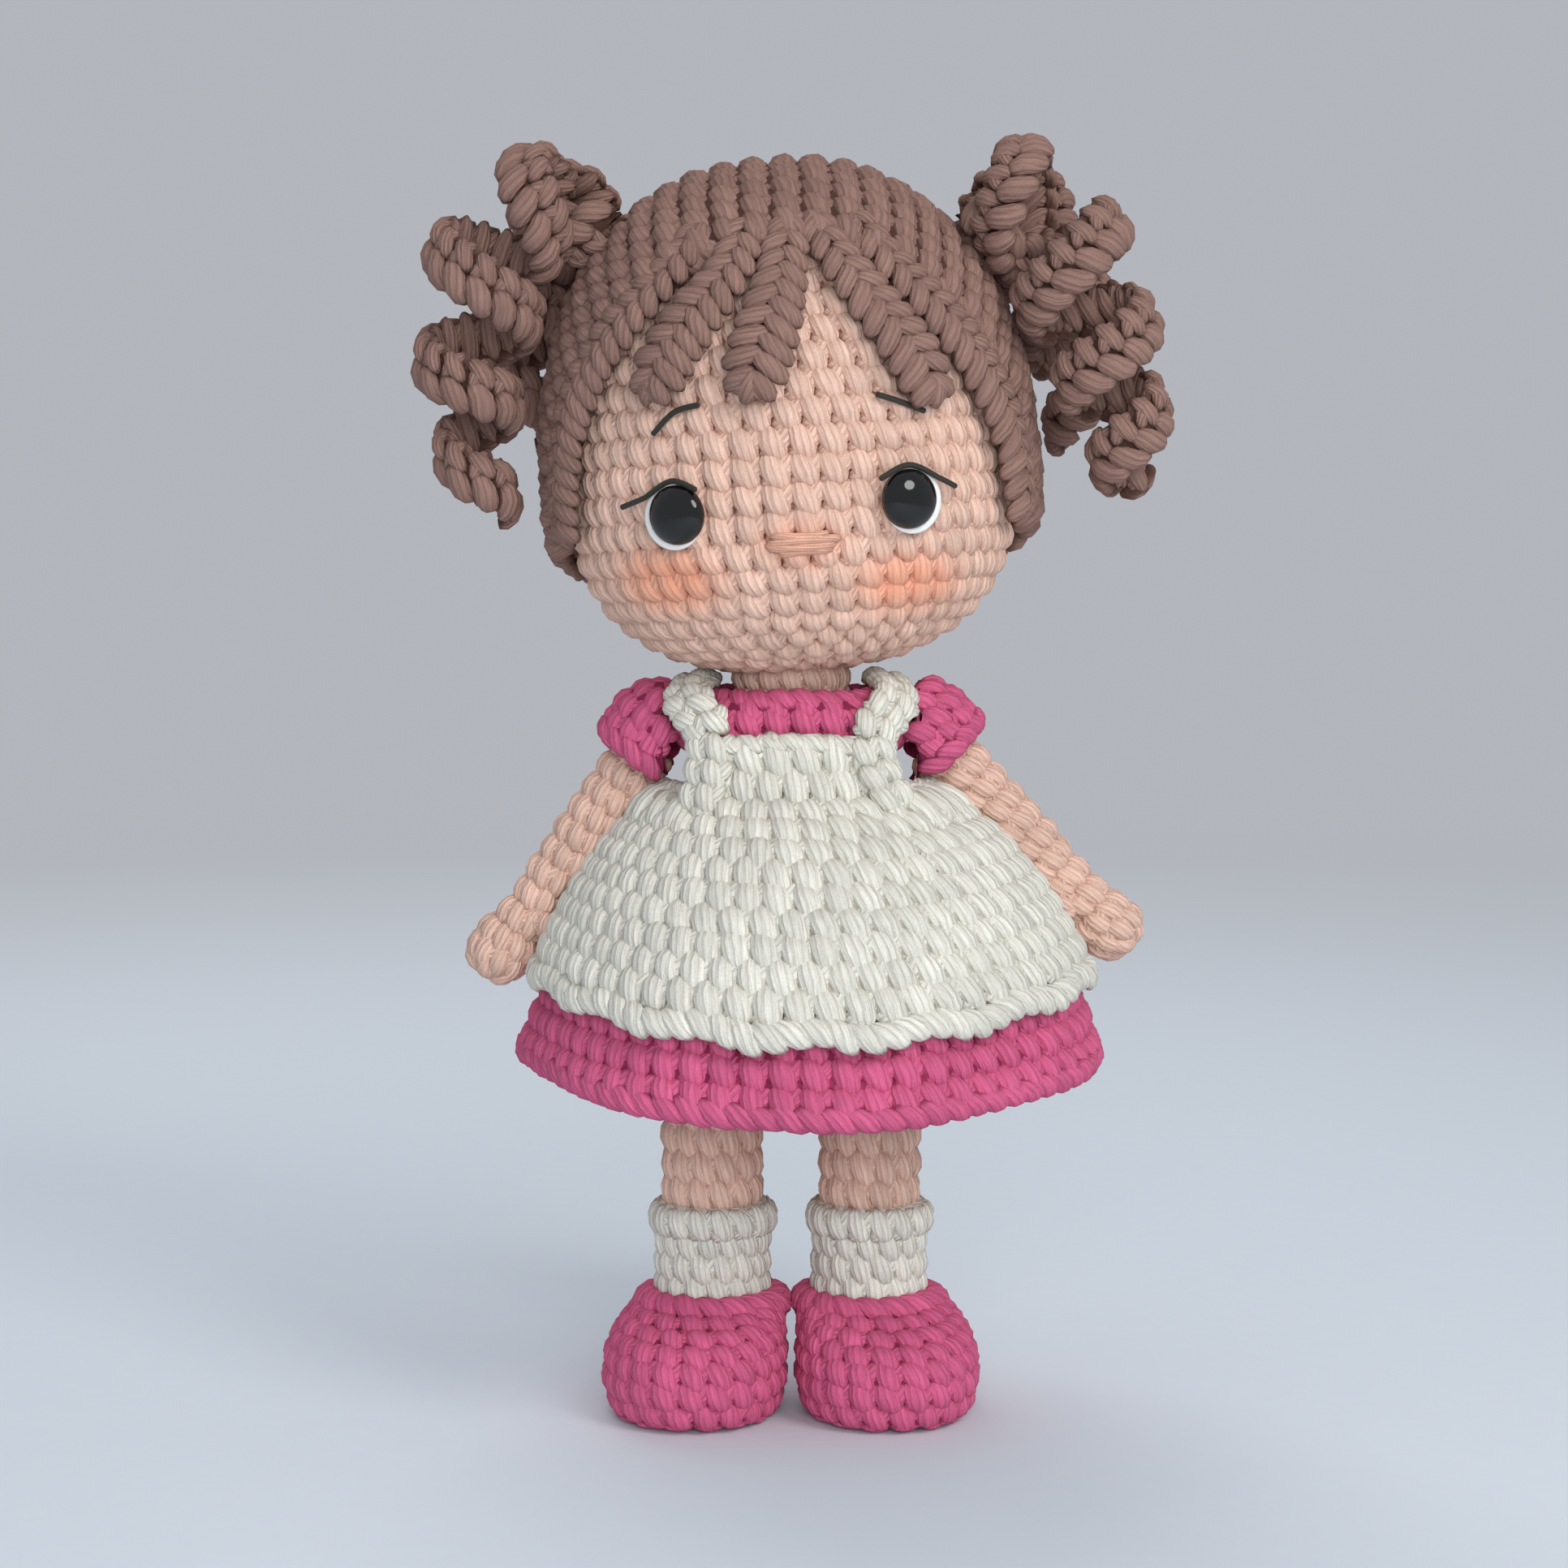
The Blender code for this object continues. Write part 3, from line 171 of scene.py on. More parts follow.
def makeStage():
    # a round floor whose far part takes on the backdrop's colour
    sides = studio["floorSides"]
    turns = [2.0 * math.pi * index / sides for index in range(sides)]
    points = [(studio["floorReach"] * math.cos(turn), studio["floorReach"] * math.sin(turn), 0.0) for turn in turns]
    mesh = bpy.data.meshes.new("studioFloor")
    mesh.from_pydata(points, [], [tuple(range(sides))])
    material, tree, shader = newMaterial("paperFloor")
    place = ownPlace(tree)
    grain = noiseOn(tree, place, studio["grainScale"], 3.0)["Color"]
    feed(tree, shader, {"Base Color": mixColours(tree, studio["grainShare"], studio["floorColour"], grain),
                        "Roughness": 0.9, "Specular IOR Level": 0.1})
    glowEnd = studio["glowStart"] + studio["glowDepth"]
    level = ranged(tree, lengthOf(tree, place), studio["glowStart"], glowEnd, 0.0, 1.0, smooth=True)
    glow = addNode(tree, "ShaderNodeEmission", {"Color": (*studio["backColour"], 1.0)})
    share = mathNode(tree, "MULTIPLY", seenRays(tree), level)
    mixInto(tree, share, shader.outputs[0], glow.outputs[0], "Material Output")
    mesh.materials.append(material)
    addObject("studioFloor", mesh)


def makeSky():
    world = bpy.data.worlds.new("softRoom")
    world.use_nodes = True
    tree = world.node_tree
    light = tree.nodes["Background"]
    feed(tree, light, {"Color": (*studio["skyColour"], 1.0), "Strength": studio["skyStrength"]})
    backdrop = addNode(tree, "ShaderNodeBackground", {"Color": (*studio["backColour"], 1.0)})
    mixInto(tree, seenRays(tree), light.outputs[0], backdrop.outputs[0], "World Output")
    bpy.context.scene.world = world


bpy.context.scene.view_settings.view_transform = "Standard"
makeCamera()
makeStage()
makeSky()
for lampName, lampFacts in lamps.items():
    makeLamp(lampName, *lampFacts)
print("camera, floor and lamps made")

# Yarns: colour of the strand, the painted shade that darkens the groove between strands, and how much its fuzz shines

yarns = {
    "skin": {"colour": (0.80, 0.530, 0.420), "grooveShade": (0.56, 0.27, 0.18), "sheen": 0.25},
    "hair": {"colour": (0.300, 0.176, 0.143), "grooveShade": (0.088, 0.042, 0.032), "sheen": 0.22},
    "dress": {"colour": (0.67, 0.125, 0.255), "grooveShade": (0.30, 0.030, 0.090), "sheen": 0.25},
    "cream": {"colour": (0.77, 0.745, 0.655), "grooveShade": (0.62, 0.56, 0.43), "sheen": 0.2},
}
# the nose's groove colour is painted shade between its turns of yarn
noseLook = {"colour": (0.97, 0.53, 0.38), "grooveShade": (0.92, 0.50, 0.36), "sheen": 0.2}
fibre = {
    "pliesRound": 9.0, "pliesAlong": 2.6, "linesRound": 26.0, "linesAlong": 2.2, "twist": 7.0, "lineShift": 37.0,
    "plyBend": 1.6, "streakHigh": 0.8, "fuzzHigh": 0.35, "plyHigh": 0.55, "depth": 0.00030, "strength": 0.85,
    # grooveEnd: the heights, in shares of the top, over which the painted groove shade fades into the strand's colour
    # groundShade: painted shade that makes the ground under the stitches darker than the groove
    "fuzzScale": 5200.0, "driftScale": 95.0, "grooveEnd": (-0.10, 0.52), "groundShade": 0.75, "roughness": 0.88,
    "gloss": 0.18, "sheenSpread": 0.45,
}
# how each pattern darkens and brightens the strand: its own range, then the factor's
toneRanges = {
    "streak": (0.34, 0.66, 0.80, 1.09), "stitch": (0.0, 1.0, 0.93, 1.06), "drift": (0.3, 0.7, 0.95, 1.04),
    # ply: painted shade in the lines between the plies
    "fuzz": (0.32, 0.68, 0.88, 1.10), "ply": (0.0, 0.45, 0.80, 1.02),
}
blush = {
    "colour": (0.90, 0.27, 0.115), "tint": 0.72, "deep": 1.4, "edge": (1.40, 0.35), "cloud": (0.30, 0.62, 0.55, 1.0),
    # place, half width, half height, strongest share
    "places": (((-0.0180, -0.0249, 0.1176), 0.0090, 0.0048, 0.78), ((0.0172, -0.0263, 0.1172), 0.0090, 0.0048, 0.74),
               ((0.0012, -0.0305, 0.1228), 0.0062, 0.0034, 0.46)),
}


def strandPlace(tree):
    # round the strand and along it, from its own UV map
    strand = addNode(tree, "ShaderNodeUVMap", uv_map="UVMap")
    split = addNode(tree, "ShaderNodeSeparateXYZ", {0: strand.outputs["UV"]})
    return split.outputs["X"], split.outputs["Y"]


def woundPly(tree, around, along, plies, turns, bend=None):
    # lines between the plies that wind round a strand; they raise the bump and carry painted shade
    parts = [mathNode(tree, "MULTIPLY", around, plies * math.pi), mathNode(tree, "MULTIPLY", along, turns * math.pi)]
    wound = chained(tree, "ADD", *parts, *(() if bend is None else (bend,)))
    return mathNode(tree, "ABSOLUTE", mathNode(tree, "SINE", wound))


def yarnStrand(tree, look, fuzz, drift):
    # colour and height of a strand: streaks and plies along it, fuzz on it, painted groove shade at its foot
    around, along = strandPlace(tree)
    tone = addNode(tree, "ShaderNodeAttribute", attribute_name="tone").outputs["Fac"]
    deep = addNode(tree, "ShaderNodeAttribute", attribute_name="deep").outputs["Fac"]
    slanted = chained(tree, "ADD", mathNode(tree, "MULTIPLY", around, fibre["linesRound"]),
                      mathNode(tree, "MULTIPLY", along, fibre["twist"]))
    lines = addNode(tree, "ShaderNodeCombineXYZ", {
        "X": slanted, "Y": mathNode(tree, "MULTIPLY", along, fibre["linesAlong"]),
        "Z": mathNode(tree, "MULTIPLY", tone, fibre["lineShift"])}).outputs[0]
    streak = noiseOn(tree, lines, 1.0, 3.0, 0.6)["Fac"]
    bend = mathNode(tree, "MULTIPLY", streak, fibre["plyBend"])
    ply = woundPly(tree, around, along, fibre["pliesRound"], fibre["pliesAlong"], bend)
    height = chained(tree, "ADD", *(mathNode(tree, "MULTIPLY", value, fibre[label]) for value, label in (
        (streak, "streakHigh"), (fuzz, "fuzzHigh"), (ply, "plyHigh"))))
    patterns = {"streak": streak, "stitch": tone, "drift": drift, "fuzz": fuzz, "ply": ply}
    factors = [ranged(tree, value, *toneRanges[label]) for label, value in patterns.items()]
    bright = chained(tree, "MULTIPLY", *factors)
    # painted shade: the groove colour at the strand's foot fades into the strand's own colour higher up
    shadeFade = ranged(tree, deep, *fibre["grooveEnd"], 0.0, 1.0, smooth=True)
    even = addNode(tree, "ShaderNodeCombineXYZ", {slot: bright for slot in range(3)}).outputs[0]
    base = mixColours(tree, shadeFade, look["grooveShade"], look["colour"])
    return mixColours(tree, 1.0, base, even, "MULTIPLY"), height


def blushOver(tree, place, drift, base):
    reds = []
    for spot, wide, high, most in blush["places"]:
        inputs = {"Vector": place, "Location": spot, "Scale": (wide, wide * blush["deep"], high)}
        shift = addNode(tree, "ShaderNodeMapping", inputs, vector_type="TEXTURE")
        reds.append(ranged(tree, lengthOf(tree, shift.outputs[0]), *blush["edge"], 0.0, most, smooth=True))
    cloud = ranged(tree, drift, *blush["cloud"])
    share = mathNode(tree, "MULTIPLY", chained(tree, "ADD", *reds), cloud, clamp=True)
    return mixColours(tree, share, base, mixColours(tree, blush["tint"], base, blush["colour"]))


def yarnFinish(name, look, blushed=False, ground=False):
    material, tree, shader = newMaterial(name)
    place = ownPlace(tree)
    fuzz = noiseOn(tree, place, fibre["fuzzScale"], 4.0, 0.65)["Fac"]
    drift = noiseOn(tree, place, fibre["driftScale"], 2.0)["Fac"]
    if ground:
        # the ground under the stitches is painted shade: the groove's shade, darker still, speckled by the fuzz
        base, height = mixColours(tree, fuzz, darker(look["grooveShade"], fibre["groundShade"]), look["grooveShade"]), fuzz
    else:
        base, height = yarnStrand(tree, look, fuzz, drift)
    if blushed:
        base = blushOver(tree, place, drift, base)
    addRelief(tree, shader, height, fibre["strength"], fibre["depth"])
    feed(tree, shader, {"Base Color": base, "Roughness": fibre["roughness"], "Specular IOR Level": fibre["gloss"],
                        "Sheen Weight": look["sheen"], "Sheen Roughness": fibre["sheenSpread"],
                        "Sheen Tint": (*look["colour"], 1.0)})
    return material


materials = {name: yarnFinish(name + "Yarn", look) for name, look in yarns.items()}
materials["cheek"] = yarnFinish("cheekYarn", yarns["skin"], blushed=True)
materials["nose"] = yarnFinish("noseYarn", noseLook)
# grounds: the cores and cloth sheets under the stitches, coloured as the painted shade in the holes
groundsInShade = {name: yarnFinish(name + "GroundInShade", look, ground=True) for name, look in yarns.items()}
print("yarns made")

# The stitches: each is one or two bulging strands in a cell one wide, one high,
# across to the right, up to the next row, outward towards the viewer. Each strand
# has its knots and its radii. The letters keep the order in which the tree counts them.

stitchShapes = {
    # single crochet: a full strand over a thinner one that crosses behind it
    "aCross": (
        (((0.38, 0.47, 0.08), (0.33, 0.27, 0.26), (0.20, 0.02, 0.30), (-0.08, -0.20, 0.27), (-0.29, -0.42, 0.12)),
         (0.23, 0.30, 0.31, 0.31, 0.26)),
        (((-0.28, 0.46, 0.08), (-0.19, 0.24, 0.34), (-0.05, 0.01, 0.41), (0.09, -0.22, 0.35), (0.21, -0.46, 0.08)),
         (0.25, 0.37, 0.41, 0.37, 0.23)),
    ),
    # tall post seen on a narrow band
    "bPost": (
        (((0.34, 0.50, 0.04), (0.27, 0.26, 0.28), (0.12, 0.0, 0.32), (-0.12, -0.26, 0.26), (-0.30, -0.50, 0.04)),
         (0.15, 0.25, 0.28, 0.25, 0.13)),
        (((-0.33, 0.50, 0.04), (-0.23, 0.28, 0.36), (-0.06, 0.02, 0.45), (0.13, -0.26, 0.37), (0.28, -0.50, 0.04)),
         (0.17, 0.30, 0.34, 0.30, 0.15)),
    ),
    # one turn of a rope, slanting across its path
    "dTurn": (
        (((-0.42, -0.50, 0.0), (-0.30, -0.22, 0.26), (0.0, 0.05, 0.40), (0.30, 0.28, 0.26), (0.44, 0.50, 0.0)),
         (0.24, 0.40, 0.45, 0.40, 0.22)),
    ),
    # bar of yarn that rounds off the end of a strand of hair
    "eBar": (
        (((0.0, -0.40, 0.0), (0.0, -0.24, 0.24), (0.0, 0.0, 0.33), (0.0, 0.24, 0.24), (0.0, 0.40, 0.0)),
         (0.16, 0.40, 0.47, 0.40, 0.16)),
    ),
    # the turn of a rope, slanting the other way
    "fTurn": (
        (((0.42, -0.50, 0.0), (0.30, -0.22, 0.26), (0.0, 0.05, 0.40), (-0.30, 0.28, 0.26), (-0.44, 0.50, 0.0)),
         (0.24, 0.40, 0.45, 0.40, 0.22)),
    ),
}
# single crochet again, for bands that are worked lengthwise
stitchShapes["gCross"] = stitchShapes["aCross"]
acrossBand = ("aCross", "bPost")                      # stitches that stand across a band, the others run along it
stitchMake = {"rings": 6, "top": 0.80}
strandCorners = (-90, -25, 15, 52, 90, 128, 165, 205)   # degrees round a strand, closer where it shows


def smoothPath(knots, count):
    path = []
    last = len(knots) - 1
    for index in range(count):
        place = last * index / (count - 1)
        start = min(int(place), last - 1)
        part = place - start
        rows = (knots[max(start - 1, 0)], knots[start], knots[start + 1], knots[min(start + 2, last)])
        path.append(tuple(
            0.5 * (2 * b + (c - a) * part + (2 * a - 5 * b + 4 * c - d) * part ** 2
                   + (3 * b - a - 3 * c + d) * part ** 3) for a, b, c, d in zip(*rows)))
    return path


def readTable(table, place):
    if place <= table[0][0]:
        return table[0][1]
    for (start, first), (end, second) in zip(table, table[1:]):
        if place <= end:
            return first + (second - first) * (place - start) / (end - start)
    return table[-1][1]


def aheadAt(path, index):
    return (path[min(index + 1, len(path) - 1)] - path[max(index - 1, 0)]).normalized()


def addValues(mesh, name, kind, values):
    stored = mesh.attributes.new(name, kind, "POINT")
    stored.data.foreach_set("vector" if kind == "FLOAT_VECTOR" else "value", values)


def meshFrom(name, points, faces, corners=()):
    mesh = bpy.data.meshes.new(name)
    mesh.from_pydata(points, [], faces)
    if corners:
        layer = mesh.uv_layers.new(name="UVMap")
        for loop, spot in zip(layer.data, corners):
            loop.uv = spot
    mesh.shade_smooth()
    return mesh


def tubeFaces(first, levels, sides):
    # faces and UV corners of a closed tube: rings of corners from the first on, each at its level
    faces, corners = [], []
    for index, (start, end) in enumerate(zip(levels, levels[1:])):
        low = first + index * sides
        for corner in range(sides):
            after = (corner + 1) % sides
            left, right = corner / sides, (corner + 1) / sides
            faces.append((low + corner, low + after, low + sides + after, low + sides + corner))
            corners += [(left, start), (right, start), (right, end), (left, end)]
    last = first + (len(levels) - 1) * sides
    faces += [tuple(range(first + sides - 1, first - 1, -1)), tuple(range(last, last + sides))]
    return faces, corners + [(0.5, levels[0])] * sides + [(0.5, levels[-1])] * sides


def buildStrands(name, strands, rings, top):
    # deep: how high a corner lies above the strand's foot, as a share of the top; low corners get the painted groove
    # shade
    angles = [math.radians(corner) for corner in strandCorners]
    levels = [index / (rings - 1) for index in range(rings)]
    points, faces, corners = [], [], []
    for knots, radii in strands:
        path = [Vector(point) for point in smoothPath(knots, rings)]
        widths = [row[0] for row in smoothPath([(value,) for value in radii], rings)]
        tube = tubeFaces(len(points), levels, len(angles))
        faces += tube[0]
        corners += tube[1]
        for index, middle in enumerate(path):
            ahead = aheadAt(path, index)
            side = ahead.cross(Vector((0.0, 0.0, 1.0))).normalized()
            outward = side.cross(ahead).normalized()
            points += [middle + (side * math.cos(angle) + outward * math.sin(angle)) * widths[index]
                       for angle in angles]
    mesh = meshFrom(name, points, faces, corners)
    addValues(mesh, "deep", "FLOAT", [point.z / top for point in points])
    return mesh


stitchBox = bpy.data.collections.new("stitchBox")
kindOf = {name: index for index, name in enumerate(sorted(stitchShapes))}
for shapeName in kindOf:
    stitchMesh = buildStrands(shapeName, stitchShapes[shapeName], stitchMake["rings"], stitchMake["top"])
    stitchBox.objects.link(bpy.data.objects.new(shapeName, stitchMesh))

treeInputs = {"Cells": "Geometry", "Stitches": "Collection", "Yarn": "Material", "Core": "Object",
              "Shaded Core Yarn": "Material", "Size Jitter": "Float", "Turn Jitter": "Float", "Seed": "Int"}


def stitchTree():
    tree = bpy.data.node_groups.new("placeStitches", "GeometryNodeTree")
    sockets = {}
    for label, kind in treeInputs.items():
        made = tree.interface.new_socket(label, in_out="INPUT", socket_type="NodeSocket" + kind)
        sockets[label] = made.identifier
    tree.interface.new_socket("Crochet", in_out="OUTPUT", socket_type="NodeSocketGeometry")
    given = addNode(tree, "NodeGroupInput").outputs

    def stored(name, kind="FLOAT_VECTOR"):
        return addNode(tree, "GeometryNodeInputNamedAttribute", {"Name": name}, data_type=kind).outputs["Attribute"]

    def jitter(label, seedStep):
        # a vector drawn for each stitch, scaled by the named input
        inputs = {0: (-1.0, -1.0, -1.0), 1: (1.0, 1.0, 1.0), "Seed": mathNode(tree, "ADD", given["Seed"], seedStep)}
        drawn = addNode(tree, "FunctionNodeRandomValue", inputs, data_type="FLOAT_VECTOR").outputs[0]
        return addNode(tree, "ShaderNodeVectorMath", {0: drawn, "Scale": given[label]}, operation="SCALE").outputs[0]

    def painted(geometry, yarn):
        real = addNode(tree, "GeometryNodeRealizeInstances", {0: geometry}).outputs[0]
        return addNode(tree, "GeometryNodeSetMaterial", {"Geometry": real, "Material": given[yarn]}).outputs[0]

    facing = addNode(tree, "FunctionNodeAxesToRotation", {0: stored("outward"), 1: stored("across")},
                     primary_axis="Z", secondary_axis="X")
    sway = addNode(tree, "FunctionNodeEulerToRotation", {0: jitter("Turn Jitter", 1)})
    turned = addNode(tree, "FunctionNodeRotateRotation", {0: facing.outputs[0], 1: sway.outputs[0]},
                     rotation_space="LOCAL")
    grown = addNode(tree, "ShaderNodeVectorMath", {0: jitter("Size Jitter", 2), 1: stored("size"), 2: stored("size")},
                    operation="MULTIPLY_ADD")
    shapes = addNode(tree, "GeometryNodeCollectionInfo", {"Collection": given["Stitches"], "Separate Children": True,
                                                          "Reset Children": True})
    placed = addNode(tree, "GeometryNodeInstanceOnPoints", {
        "Points": given["Cells"], "Instance": shapes.outputs[0], "Pick Instance": True,
        "Instance Index": stored("kind", "INT"), "Rotation": turned.outputs[0], "Scale": grown.outputs[0]})
    drawn = addNode(tree, "FunctionNodeRandomValue", {"Seed": given["Seed"]}, data_type="FLOAT").outputs[1]
    toned = addNode(tree, "GeometryNodeStoreNamedAttribute", {0: placed.outputs[0], "Name": "tone", "Value": drawn},
                    data_type="FLOAT", domain="INSTANCE")
    core = addNode(tree, "GeometryNodeObjectInfo", {0: given["Core"]}).outputs["Geometry"]
    both = addNode(tree, "GeometryNodeJoinGeometry")
    for part in (painted(toned.outputs[0], "Yarn"), painted(core, "Shaded Core Yarn")):
        tree.links.new(part, both.inputs[0])
    addNode(tree, "NodeGroupOutput", {0: both.outputs[0]})
    return tree, sockets


placeStitches, stitchSockets = stitchTree()
crochet = {"sizeJitter": 0.05, "turnJitter": 0.07, "seed": 11, "merge": 0.00002}


def coreMesh(node, inset, dips=()):
    # a copy of the CAD solid, merged and drawn in under the stitches; dips: (place, way in, depth, reach)
    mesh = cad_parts[node].data.copy()
    shape = bmesh.new()
    shape.from_mesh(mesh)
    bmesh.ops.remove_doubles(shape, verts=shape.verts, dist=crochet["merge"])
    bmesh.ops.recalc_face_normals(shape, faces=shape.faces)
    shape.normal_update()
    for vertex in shape.verts:
        vertex.co -= vertex.normal * inset
        for spot, wayIn, depth, reach in dips:
            near = (vertex.co - spot).length / reach
            if near < 1.0:
                vertex.co += wayIn * (depth * (1.0 - near * near))
    shape.to_mesh(mesh)
    shape.free()
    mesh.materials.clear()
    mesh.shade_smooth()
    return mesh


def crochetPiece(name, cells, node, body, yarn, inset=None, seed=0, finish=None, dips=()):
    # stitches on their cells, over a core unless the piece is the yarn of a sheet
    mesh = bpy.data.meshes.new(name)
    mesh.from_pydata([cell["place"] for cell in cells], [], [])
    for key in ("outward", "across", "size"):
        addValues(mesh, key, "FLOAT_VECTOR", [value for cell in cells for value in cell[key]])
    addValues(mesh, "kind", "INT", [kindOf[cell["kind"]] for cell in cells])
    base = addObject(name + "Cells", mesh)
    core = None if inset is None else addObject(name + "Core", coreMesh(node, inset, dips))
    modifier = base.modifiers.new("stitches", "NODES")
    modifier.node_group = placeStitches
    # the core under the stitches wears the ground yarn's painted shade
    values = {"Stitches": stitchBox, "Yarn": materials[finish or yarn], "Core": core, "Shaded Core Yarn": groundsInShade[yarn],
              "Size Jitter": crochet["sizeJitter"], "Turn Jitter": crochet["turnJitter"],
              "Seed": crochet["seed"] + seed}
    for label, value in values.items():
        modifier[stitchSockets[label]] = value
    bpy.context.view_layer.update()
    made = bpy.data.meshes.new_from_object(base.evaluated_get(bpy.context.evaluated_depsgraph_get()))
    made.name = name
    piece = addObject(name, made)
    for used in (base, core):
        if used is not None:
            bpy.data.objects.remove(used)
    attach(piece, body)
    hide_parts(node)
    print(name, len(cells), "stitches,", sum(len(face.vertices) - 2 for face in made.polygons), "triangles")
    return piece


def placePiece(name, mesh, material, body, node):
    mesh.materials.clear()
    mesh.materials.append(material)
    piece = addObject(name, mesh)
    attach(piece, body)
    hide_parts(node)
    return piece


def clothFrom(name, node, yarn, inset):
    # a sheet under the stitches in the ground yarn's painted shade
    mesh = coreMesh(node, inset)
    mesh.name = name
    return placePiece(name, mesh, groundsInShade[yarn], "torso", node)


def camelName(node):
    first, *others = node.split("_")
    return first + "".join(part.capitalize() for part in others)


# Paths and rows

def runLengths(points):
    lengths = [0.0]
    for before, after in zip(points, points[1:]):
        lengths.append(lengths[-1] + (after - before).length)
    return lengths


def sampler(points, loop):
    # a polyline as a function of the share of its length, and that length
    points = list(points) + [points[0]] * loop
    lengths = runLengths(points)
    total = lengths[-1]

    def at(share):
        want = (share % 1.0 if loop else min(max(share, 0.0), 1.0)) * total
        low, high = 0, len(lengths) - 1
        while high - low > 1:
            middle = (low + high) // 2
            low, high = (middle, high) if lengths[middle] <= want else (low, middle)
        span = lengths[high] - lengths[low]
        return points[low].lerp(points[high], (want - lengths[low]) / span if span else 0.0)

    return at, total


def evenSteps(points, step, least):
    # where places an even distance apart lie on a fine polyline: its span and the part of that span
    lengths = runLengths(points)
    rows = max(least, round(lengths[-1] / step))
    index, found = 0, []
    for row in range(rows + 1):
        want = lengths[-1] * row / rows
        while index < len(points) - 2 and lengths[index + 1] < want:
            index += 1
        span = lengths[index + 1] - lengths[index]
        found.append((index, min(max((want - lengths[index]) / span, 0.0), 1.0) if span else 0.0))
    return found


def turnsFrom(start, end, count):
    return [start + (end - start) * index / count for index in range(count + 1)]


def evenPlaces(pointAt, start, end, step):
    places = turnsFrom(start, end, 160)
    found = evenSteps([pointAt(place) for place in places], step, 1)
    return [places[index] + (places[index + 1] - places[index]) * part for index, part in found]


def resample(path, step):
    # stations an even distance apart on a path of (middle, side, outward, half width, half thickness)
    made = []
    for index, part in evenSteps([station[0] for station in path], step, 2):
        here, there = path[index], path[index + 1]
        middle, side, outward = (here[entry].lerp(there[entry], part) for entry in range(3))
        half, thick = (here[entry] + (there[entry] - here[entry]) * part for entry in (3, 4))
        made.append((middle, side.normalized(), outward.normalized(), half, thick))
    return made


def ringCurve(pointAt, count=96, start=-180.0):
    # closed curve, from the back round by the doll's right, the front and its left
    return [pointAt(turn) for turn in turnsFrom(start, -start, count)[:-1]]


def openCurve(pointAt, start, end, count):
    return [pointAt(turn) for turn in turnsFrom(start, end, count)]


def roundAt(radius, turnDeg, height=0.0, centre=0.0):
    turn = math.radians(turnDeg)
    return Vector((centre + radius * math.sin(turn), -radius * math.cos(turn), height))


def makeCell(spot, outward, across, size, kind, proud):
    # the stitch's top stands proud of the spot
    return {"place": spot - outward * (stitchMake["top"] * size[2] - proud), "outward": outward, "across": across,
            "size": size, "kind": kind}


def stitchRows(curves, wide, loop=True, lean=0.0, relief=0.85, proud=0.0002, keep=None, inner=False, overlap=1.0,
               grow=1.06, step=1, least=0.0005):
    # cells between neighbouring curves, which run to the right seen from outside, from the lowest row up
    cells = []
    for row, (low, high) in enumerate(zip(curves, curves[1:])):
        lowAt, lowLength = sampler(low, loop)
        highAt, highLength = sampler(high, loop)
        count = max(3 if loop else 1, step * round((lowLength + highLength) / 2.0 / wide / step))
        half = 0.5 / count
        for index in range(count):
            share = (index + 0.5 + (lean * row) % 1.0) / count if loop else (index + 0.5) / count
            bottom, top = lowAt(share), highAt(share)
            middle = (bottom + top) / 2.0
            left = (lowAt(share - half) + highAt(share - half)) / 2.0
            right = (lowAt(share + half) + highAt(share + half)) / 2.0
            across, up = right - left, top - bottom
            if min(across.length, up.length) < least or keep is not None and not keep(middle):
                continue
            outward = across.cross(up).normalized()
            if inner:
                outward, across = -outward, -across
            size = (across.length * grow, up.length * overlap * grow, relief * min(across.length, up.length))
            cells.append(makeCell(middle, outward, across.normalized(), size, "aCross", proud))
    return cells


def bandCells(stations, kinds, relief=0.85, proud=0.0003):
    # kinds: (stitch, from, to, side, tilt); from and to run from -1 to 1 across, side 1 is the outer, -1 the inner
    cells = []
    for here, there in zip(stations, stations[1:]):
        middle, half, thick = ((here[entry] + there[entry]) / 2.0 for entry in (0, 3, 4))
        side, outward = ((here[entry] + there[entry]).normalized() for entry in (1, 2))
        ahead = there[0] - here[0]
        for kind, start, end, facing, tilt in kinds:
            wide = abs(end - start) * half
            out = (outward * facing + side * tilt).normalized()
            up = side * facing if kind in acrossBand else ahead.normalized()
            up = (up - out * up.dot(out)).normalized()
            size = (ahead.length * 1.06, wide * 1.06) if kind in acrossBand else (wide * 1.08, ahead.length * 1.12)
            spot = middle + side * (half * (start + end) / 2.0) + out * thick
            deep = relief * min(ahead.length, wide)
            cells.append(makeCell(spot, out, up.cross(out), (*size, deep), kind, proud))
    return cells


def ropeCells(path, wide, kind="dTurn", step=0.0038, relief=0.75, proud=0.0, loop=True, closeUp=1.15):
    # a rope along a path of (point, outward)
    points = [spot for spot, _ in path]
    at, total = sampler(points, loop)
    lengths = runLengths(points + [points[0]] * loop)
    count = max(2, round(total / step))
    cells = []
    for index in range(count):
        share = (index + 0.5) / count
        before, after = at(share - 0.5 / count), at(share + 0.5 / count)
        nearest = min(range(len(lengths) - 1), key=lambda row: abs(lengths[row] - share * total))
        up = after - before
        out = path[nearest][1]
        out = (out - up.normalized() * out.dot(up.normalized())).normalized()
        size = (wide, up.length * closeUp, relief * wide)
        cells.append(makeCell((before + after) / 2.0, out, up.cross(out).normalized(), size, kind, proud))
    return cells


# Head and hair. Turns are in degrees from the front to the doll's left, heights in shares of the head's.

